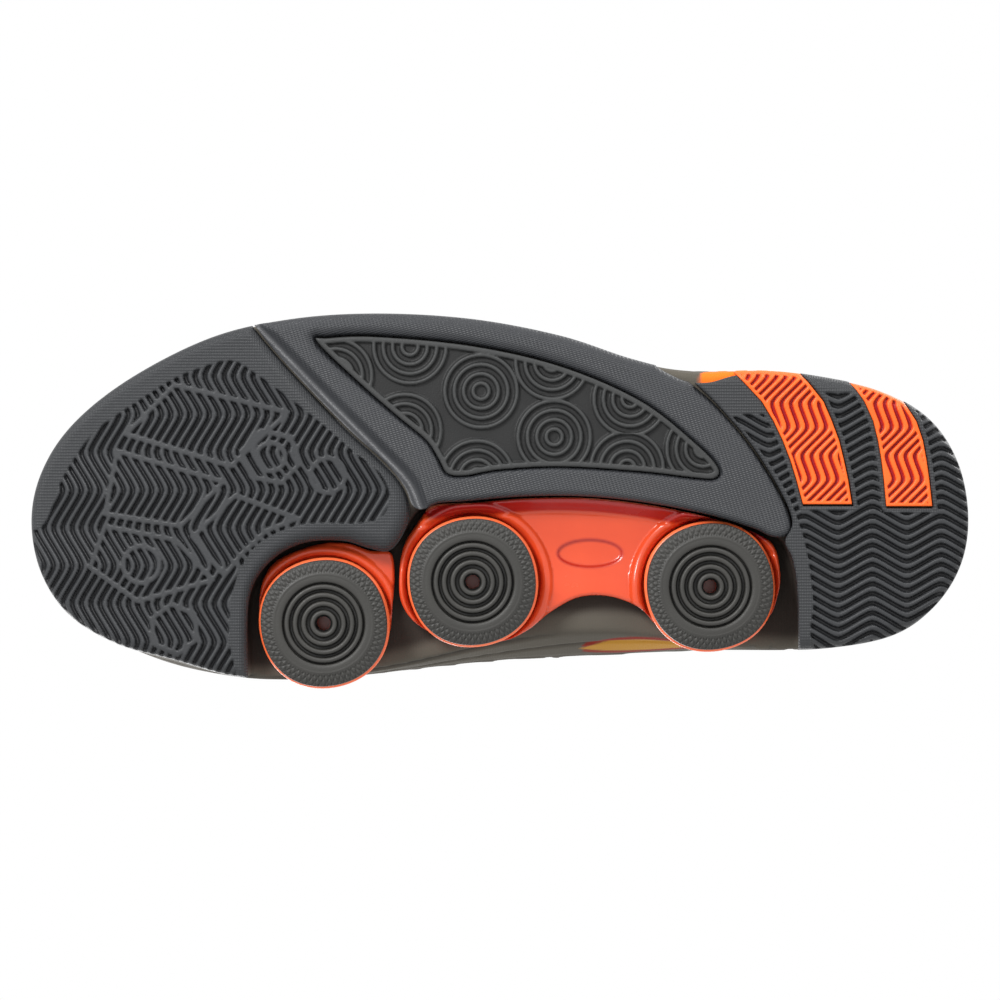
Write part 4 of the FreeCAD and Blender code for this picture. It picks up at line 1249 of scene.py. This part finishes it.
ochre_leather = leather_finish("ochre_leather", (0.42, 0.190, 0.020), (0.58, 0.270, 0.035), 0.45, 800.0, 0.08)
piping_paint = leather_finish("piping_leather", (0.16, 0.022, 0.012), (0.24, 0.035, 0.018),
                              0.45, 1200.0, 0.05)
for side, turn in SIDES.items():
    span = turn((5.2, 7.6))
    top_edge = arch_between(span, 0.17, 0.44)
    leaf = panel("ochre_leaf_" + side, span, (0.13, top_edge), LAYER, LAYER + OVERLAY, columns=50,
                 per_station=36)
    coat(leaf, ochre_leather)
    sew(leaf, (span[0] + 0.25, span[1] - 0.25), lambda u, edge=top_edge: edge(u) - 0.035, LAYER + OVERLAY)
    bead = panel("piping", span, (lambda u, edge=top_edge: edge(u) - 0.012, top_edge), LAYER + 0.2,
                 LAYER + OVERLAY + 0.5, columns=8, per_station=36, soft=0.9)
    join_to(leaf, bead, piping_paint)
    fit(leaf, "root", "ochre_leather", "accent_panel_" + side)

# ---- collar and linings ----
# The collar is a thick foam roll under soft knit, with a lining sewn to the top edge. Stiff parts hide in
# the wall: a heel stiffener, a toe puff, and an ankle pad on each side. The sockliner lies loose on a board.

knit = woven_finish("collar_knit", (0.050, 0.049, 0.047), (0.070, 0.068, 0.065), 1.1, 0.18,
                    (0.025, 0.024, 0.023), 0.9)
lining = woven_finish("lining_fabric", (0.075, 0.073, 0.070), (0.100, 0.097, 0.092), 1.4, 0.18,
                      (0.04, 0.04, 0.038))
collar_span = (THROAT_END + 0.3, STATIONS - THROAT_END - 0.3)


collar = panel("collar_roll", collar_span, (0.72, 0.985), -8.0, -GAP, columns=40, soft=4.0)
coat(collar, knit)
fit(collar, "root", "padding_foam", "collar_foam")
liner = panel("collar_lining_cloth", collar_span, (0.42, 0.985), -9.3, -8.2, columns=60, soft=0.5)
coat(liner, lining)
sew(liner, (collar_span[0] + 0.1, collar_span[1] - 0.1), 0.70, -9.4, radius=0.4)
fit(liner, "root", "collar_knit", "collar_lining")


def simple_finish(name, one, two, rough, scale=900.0, depth=0.08):
    material, tree, shader, place = finish_of(name, Roughness=rough, Specular_IOR_Level=0.35)
    cloud = noise(tree, place, 60.0, 4.0)
    grit = noise(tree, place, scale, 3.0)
    clouded(tree, shader, cloud, one, two)
    bump(tree, shader, grit, depth, 0.7)
    return material


board_card = simple_finish("board_card", (0.42, 0.36, 0.27), (0.52, 0.45, 0.34), 0.85)
shank_plastic = simple_finish("shank_plastic", (0.02, 0.02, 0.022), (0.03, 0.03, 0.033), 0.35)
pad_foam = simple_finish("padding_foam", (0.30, 0.29, 0.27), (0.38, 0.37, 0.34), 0.9, 1500.0, 0.2)
stiff = simple_finish("stiffener_board", (0.18, 0.17, 0.15), (0.24, 0.23, 0.20), 0.7)
hidden_parts = {"strobel_board": board_card, "shank_plate": shank_plastic, "ankle_pad_lateral": pad_foam,
                "ankle_pad_medial": pad_foam, "heel_stiffener": stiff, "toe_puff": stiff,
                "vamp_lining": lining}
for name, material in hidden_parts.items():
    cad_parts[name].data.materials.clear()
    coat(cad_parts[name], material)

sock_line = between(np.linspace(0, STATIONS, 160, endpoint=False))[:, :2]


def outward(line):
    """Directions square to a closed line, on its right-hand side."""
    ahead = unit(np.roll(line, -1, axis=0) - np.roll(line, 1, axis=0))
    return np.stack([ahead[:, 1], -ahead[:, 0]], axis=1)


def inset_line(line, by):
    """A closed line moved in by a distance."""
    out = outward(line)
    away = np.sign(np.sum(out * (line - line.mean(axis=0)), axis=1, keepdims=True))
    return line - out * away * by


def sock_over(x, y):
    gap, _, _ = to_line(x, y, SOCK)
    return bed(x) + 4.0 - round_off(gap, 2.5) * 0.8 - 0.5 * ease(gap, 6, 26)


SOCK = inset_line(sock_line, 3.6)
sock_fabric, tree, shader, place = finish_of("sockliner_fabric", Roughness=0.9, Sheen_Weight=0.2)
cells = math_node(tree, "MULTIPLY", ripple(tree, place, (1, 1, 0), 1.6), ripple(tree, place, (1, -1, 0), 1.6))
cloud = noise(tree, place, 50.0, 4.0)
clouded(tree, shader, cloud, (0.34, 0.070, 0.022), (0.46, 0.105, 0.030))
bump(tree, shader, cells, 0.15, 0.8)
sock = moulded("loose_sockliner", SOCK, lambda x, y, d: bed(x) + 0.05, sock_over, 1.4)
coat(sock, sock_fabric)
fit(sock, "root", "sockliner_fabric", "sockliner")

# ---- tongue ----
# One long padded tongue in spacer mesh, sewn in under the vamp. Its free top stands above the lace, with a
# plain moulded patch on its front.

TONGUE_FOAM, TONGUE_DROP, FLAP_TALL = 6.5, 2.7, 34.0


def across_throat(u, w, t, offset, fullness):
    """Points on the arch over the foot between the same place on both sides, leaving each along its panel."""
    u, t = spread(u, t)
    ends = []
    for station in (STATIONS - u, u):
        edge = upper_offset(station, w, offset)
        ends.append((edge, unit(upper_offset(station, w + 0.05, offset) - edge)))
    (start, leave), (end, arrive) = ends
    pull = np.linalg.norm(start - end, axis=-1, keepdims=True) * fullness
    leave, arrive = leave * pull, arrive * pull
    t = t[..., None]
    return (start * (2 * t ** 3 - 3 * t * t + 1) + leave * (t ** 3 - 2 * t * t + t)
            + end * (3 * t * t - 2 * t ** 3) + arrive * (t * t - t ** 3))


def tongue_point(s, t):
    """The tongue's outer face: s runs from under the vamp to the hinge, t from side to side."""
    s, t = spread(s, t)
    under_vamp = upper_offset(1.5 * (2 * t - 1), 0.8, -TONGUE_DROP - 0.6)
    arch = across_throat(2.0 + (THROAT_END - 2.1) * np.maximum(s, 0.16), 0.82, t, -TONGUE_DROP, 1.35)
    share = np.clip(s / 0.16, 0, 1)[..., None]
    found = under_vamp * (1 - share) + arch * share
    found[..., 2] -= 4.4 * np.maximum(0.0, 1 - s / 0.45)
    return found


def flap_point(s, t):
    """The free flap's front: s runs from the hinge to its top edge, t from side to side."""
    s, t = spread(s, t)
    base, mid = tongue_point(np.ones(s.shape), t), tongue_point(np.ones(s.shape), np.full(s.shape, 0.5))
    flat = np.stack([mid[..., 0], CENTRE_Y + (base[..., 1] - CENTRE_Y) * 1.5, mid[..., 2]], axis=-1)
    edge = np.abs(2 * t - 1) / 0.66
    found = base * (1 - 0.6 * s[..., None]) + flat * (0.6 * s[..., None])
    found[..., 0] += 5.0 * s * s - 10.0 * s
    found[..., 2] += FLAP_TALL * s * (1 - 0.25 * edge ** 5)
    return found


def stuffed(along, across, from_edge):
    """Two lengthwise seams that the foam swells between."""
    wide = across.max(axis=1, keepdims=True)
    seams = np.minimum(np.abs(across / wide - 0.36), np.abs(across / wide - 0.64)) * wide
    return -0.9 * np.exp(-(seams / 1.3) ** 2) * ease(from_edge, 0.5, 3)


tongue_mesh = woven_finish("tongue_mesh", (0.070, 0.066, 0.058), (0.100, 0.094, 0.082), 1.7, 0.25)


def whole_tongue(s, t):
    """The tongue, then its free flap, which grows out of the tongue's middle."""
    s, t = spread(s, t)
    narrow = 0.17 * ease(s, 0.80, 1.06)
    across = narrow + (1 - 2 * narrow) * t
    low, high = tongue_point(np.minimum(s, 1.0), across), flap_point(np.maximum(s - 1.0, 0.0), across)
    return np.where((s > 1.0)[..., None], high, low)


tongue = thick_piece("padded_tongue", lambda s, t, d: offset_from(whole_tongue, 1.99 * s, t, -d), 190, 80,
                     -TONGUE_FOAM, 0.0, soft=2.8, relief=stuffed)
coat(tongue, tongue_mesh)
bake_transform(tongue)
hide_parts("tongue", "tongue_top")

patch_plastic = simple_finish("patch_plastic", (0.62, 0.085, 0.022), (0.78, 0.12, 0.03), 0.35)
patch = thick_piece("moulded_patch",
                    lambda s, t, d: offset_from(flap_point, 0.4 + 0.4 * s, 0.34 + 0.32 * t, -d),
                    40, 60, 1.2, 0.15, soft=0.4)
coat(patch, patch_plastic)
fit(patch, "tongue_flap", "patch_plastic", "tongue_patch")

# ---- eyelets, lace and pull tab ----
# Twelve pressed metal eyelets, one flat woven lace in straight bars that runs down through them and under
# the eyestays, and a loop of webbing sewn to the back of the collar to pull the shoe on with.

EYELET_FOOT, LACE_THICK = SKIN + GAP + OVERLAY + 0.1, 1.3
LACE_LIFT = EYELET_FOOT + 1.5
metal, tree, shader, place = finish_of("eyelet_metal", Metallic=1.0)
scuff = noise(tree, place, 900.0, 4.0)
clouded(tree, shader, scuff, (0.16, 0.16, 0.165), (0.30, 0.30, 0.305), rough=(0.25, 0.2))
ring_profile = [(2.1, 0.1), (2.1, 0.5), (2.3, 0.78), (2.7, 0.9), (3.3, 0.8), (3.8, 0.45), (4.0, 0.05),
                (4.0, 0.0), (3.2, 0.0)]
left, right = list(EYELET_STATIONS), [STATIONS - u for u in EYELET_STATIONS]
ring_lifts = [(radius, EYELET_FOOT + lift) for radius, lift in ring_profile]
points, faces = [], []
for station in left + right:
    more = rings_round(eyelet_axis(station), ring_lifts, 48, False, len(points))
    points, faces = points + more[0], faces + more[1]
rings = solid_of("pressed_eyelets", np.array(points) * MM, faces)
coat(rings, metal)
fit(rings, "root", "eyelet_metal", "eyelets")

lace_cloth = woven_finish("lace_fabric", (0.56, 0.115, 0.030), (0.70, 0.155, 0.045), 1.5, 0.22,
                          (0.26, 0.04, 0.012))


def lace_row(u):
    """One straight bar of lace over the tongue, from eyelet to eyelet."""
    behind, ahead = (upper_point(np.array([u + by]), np.array([1.0]))[0] for by in (-0.1, 0.1))
    step = ahead - behind
    step = np.array([step[0], 0, step[2]]) / math.hypot(step[0], step[2])

    def row_point(i, j):
        i, j = spread(i, j)
        width = 6.4 - 2.6 * np.abs(2 * i - 1) ** 6
        return across_throat(u, EYELET_W, i, LACE_LIFT, 0.82) + step * (width * (j - 0.5))[..., None]

    def plump(along, across, from_edge):
        return 0.12 * np.sin(2 * math.pi * along / 2.4) * ease(from_edge, 0.3, 1.2)

    return thick_piece("row", lambda i, j, d: offset_from(row_point, i, j, d), 90, 14,
                       0.0, LACE_THICK - 0.15, 0.55, plump)


def lace_leg(station):
    """The lace where it goes down through an eyelet."""
    lifts = [(1.75, lift) for lift in np.linspace(-1.4, LACE_LIFT + 0.6, 8)]
    points, faces = rings_round(eyelet_axis(station), lifts, 20, True)
    return solid_of("leg", np.array(points) * MM, faces)


def lace_link(start, end, bow):
    """The lace under the eyestay, from one eyelet's station to another's, bowed to clear those between."""
    def at(i, j, d):
        return upper_offset(start + (end - start) * i,
                            EYELET_W + bow * np.sin(math.pi * i) + 0.03 * (j - 0.5), d)
    return thick_piece("link", at, 30, 8, -1.6, -0.4, 0.4)


runs = ((left, 0, 1, 0.0), (left, 2, 4, -0.055), (left, 3, 5, 0.055), (right, 0, 2, -0.055),
        (right, 1, 3, 0.055))
parts = [lace_row(u) for u in left] + [lace_leg(station) for station in left + right]
parts += [lace_link(side[a], side[b], bow) for side, a, b, bow in runs]
lace = parts[0]
lace.name = "flat_lace"
coat(lace, lace_cloth)
shape = bmesh.new()
for part in parts:
    shape.from_mesh(part.data)
for part in parts[1:]:
    bpy.data.objects.remove(part)
shape.to_mesh(lace.data)
shape.free()
lace.data.polygons.foreach_set("use_smooth", [True] * len(lace.data.polygons))
fit(lace, "root", "lace_fabric", "laces")

low_corner, high_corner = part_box("pull_tab")
x0, x1, z0, z1 = (v / MM for v in (low_corner.x, high_corner.x, low_corner.z, high_corner.z))
WALL, CORNER = 1.8, 4.2


def rounded_box(x0, x1, z0, z1, radius, count=14):
    """Points round a rounded upright rectangle."""
    points = []
    for cx, cz, start in ((x1 - radius, z1 - radius, 0), (x0 + radius, z1 - radius, 90),
                          (x0 + radius, z0 + radius, 180), (x1 - radius, z0 + radius, 270)):
        for k in range(count + 1):
            a = math.radians(start + 90 * k / count)
            points.append((cx + radius * math.cos(a), cz + radius * math.sin(a)))
    return np.array(points)


HALF = WALL / 2
centre_line = dense(rounded_box(x0 + HALF, x1 - HALF, z0 + HALF, z1 - HALF, CORNER - HALF), 0.7)
out = outward(centre_line)
run = np.concatenate([[0], np.cumsum(np.linalg.norm(np.diff(centre_line, axis=0), axis=1))])
section = []
for k in range(31):
    wide = -7.4 + 14.8 * k / 30
    section.append((wide, HALF * min(1.0, math.sqrt(max(0.05, 1 - (abs(wide) / 7.6) ** 12)))))
section += [(wide, -thick) for wide, thick in section[::-1]]
points, across = [], []
for wide, thick in section:
    rib = 0.10 * np.sign(thick) * np.sin(2 * math.pi * run / 2.6) * (abs(wide) < 6.6)
    place_xz = centre_line + out * (thick * 0.93 + rib)[:, None]
    points.append(np.stack([place_xz[:, 0], np.full(len(run), CENTRE_Y + wide), place_xz[:, 1]], axis=1))
    across.append(np.full(len(run), wide + 7.5))
points = np.array(points)
number = np.arange(points.shape[0] * points.shape[1]).reshape(points.shape[:2])
next_row, next_column = np.roll(number, -1, axis=0), np.roll(number, -1, axis=1)
quads = np.stack([number, next_row, np.roll(next_row, -1, axis=1), next_column], axis=-1).reshape(-1, 4)
tab = solid_of("webbing_pull_loop", points.reshape(-1, 3) * MM, quads.tolist(),
               marks={"along": np.tile(run, len(section)), "across": np.ravel(across)})
tab_webbing = woven_finish("pull_webbing", (0.40, 0.075, 0.020), (0.52, 0.105, 0.030), 1.4, 0.25,
                           (0.16, 0.03, 0.01))
coat(tab, tab_webbing)
fit(tab, "heel_tab", "webbing", "pull_tab")
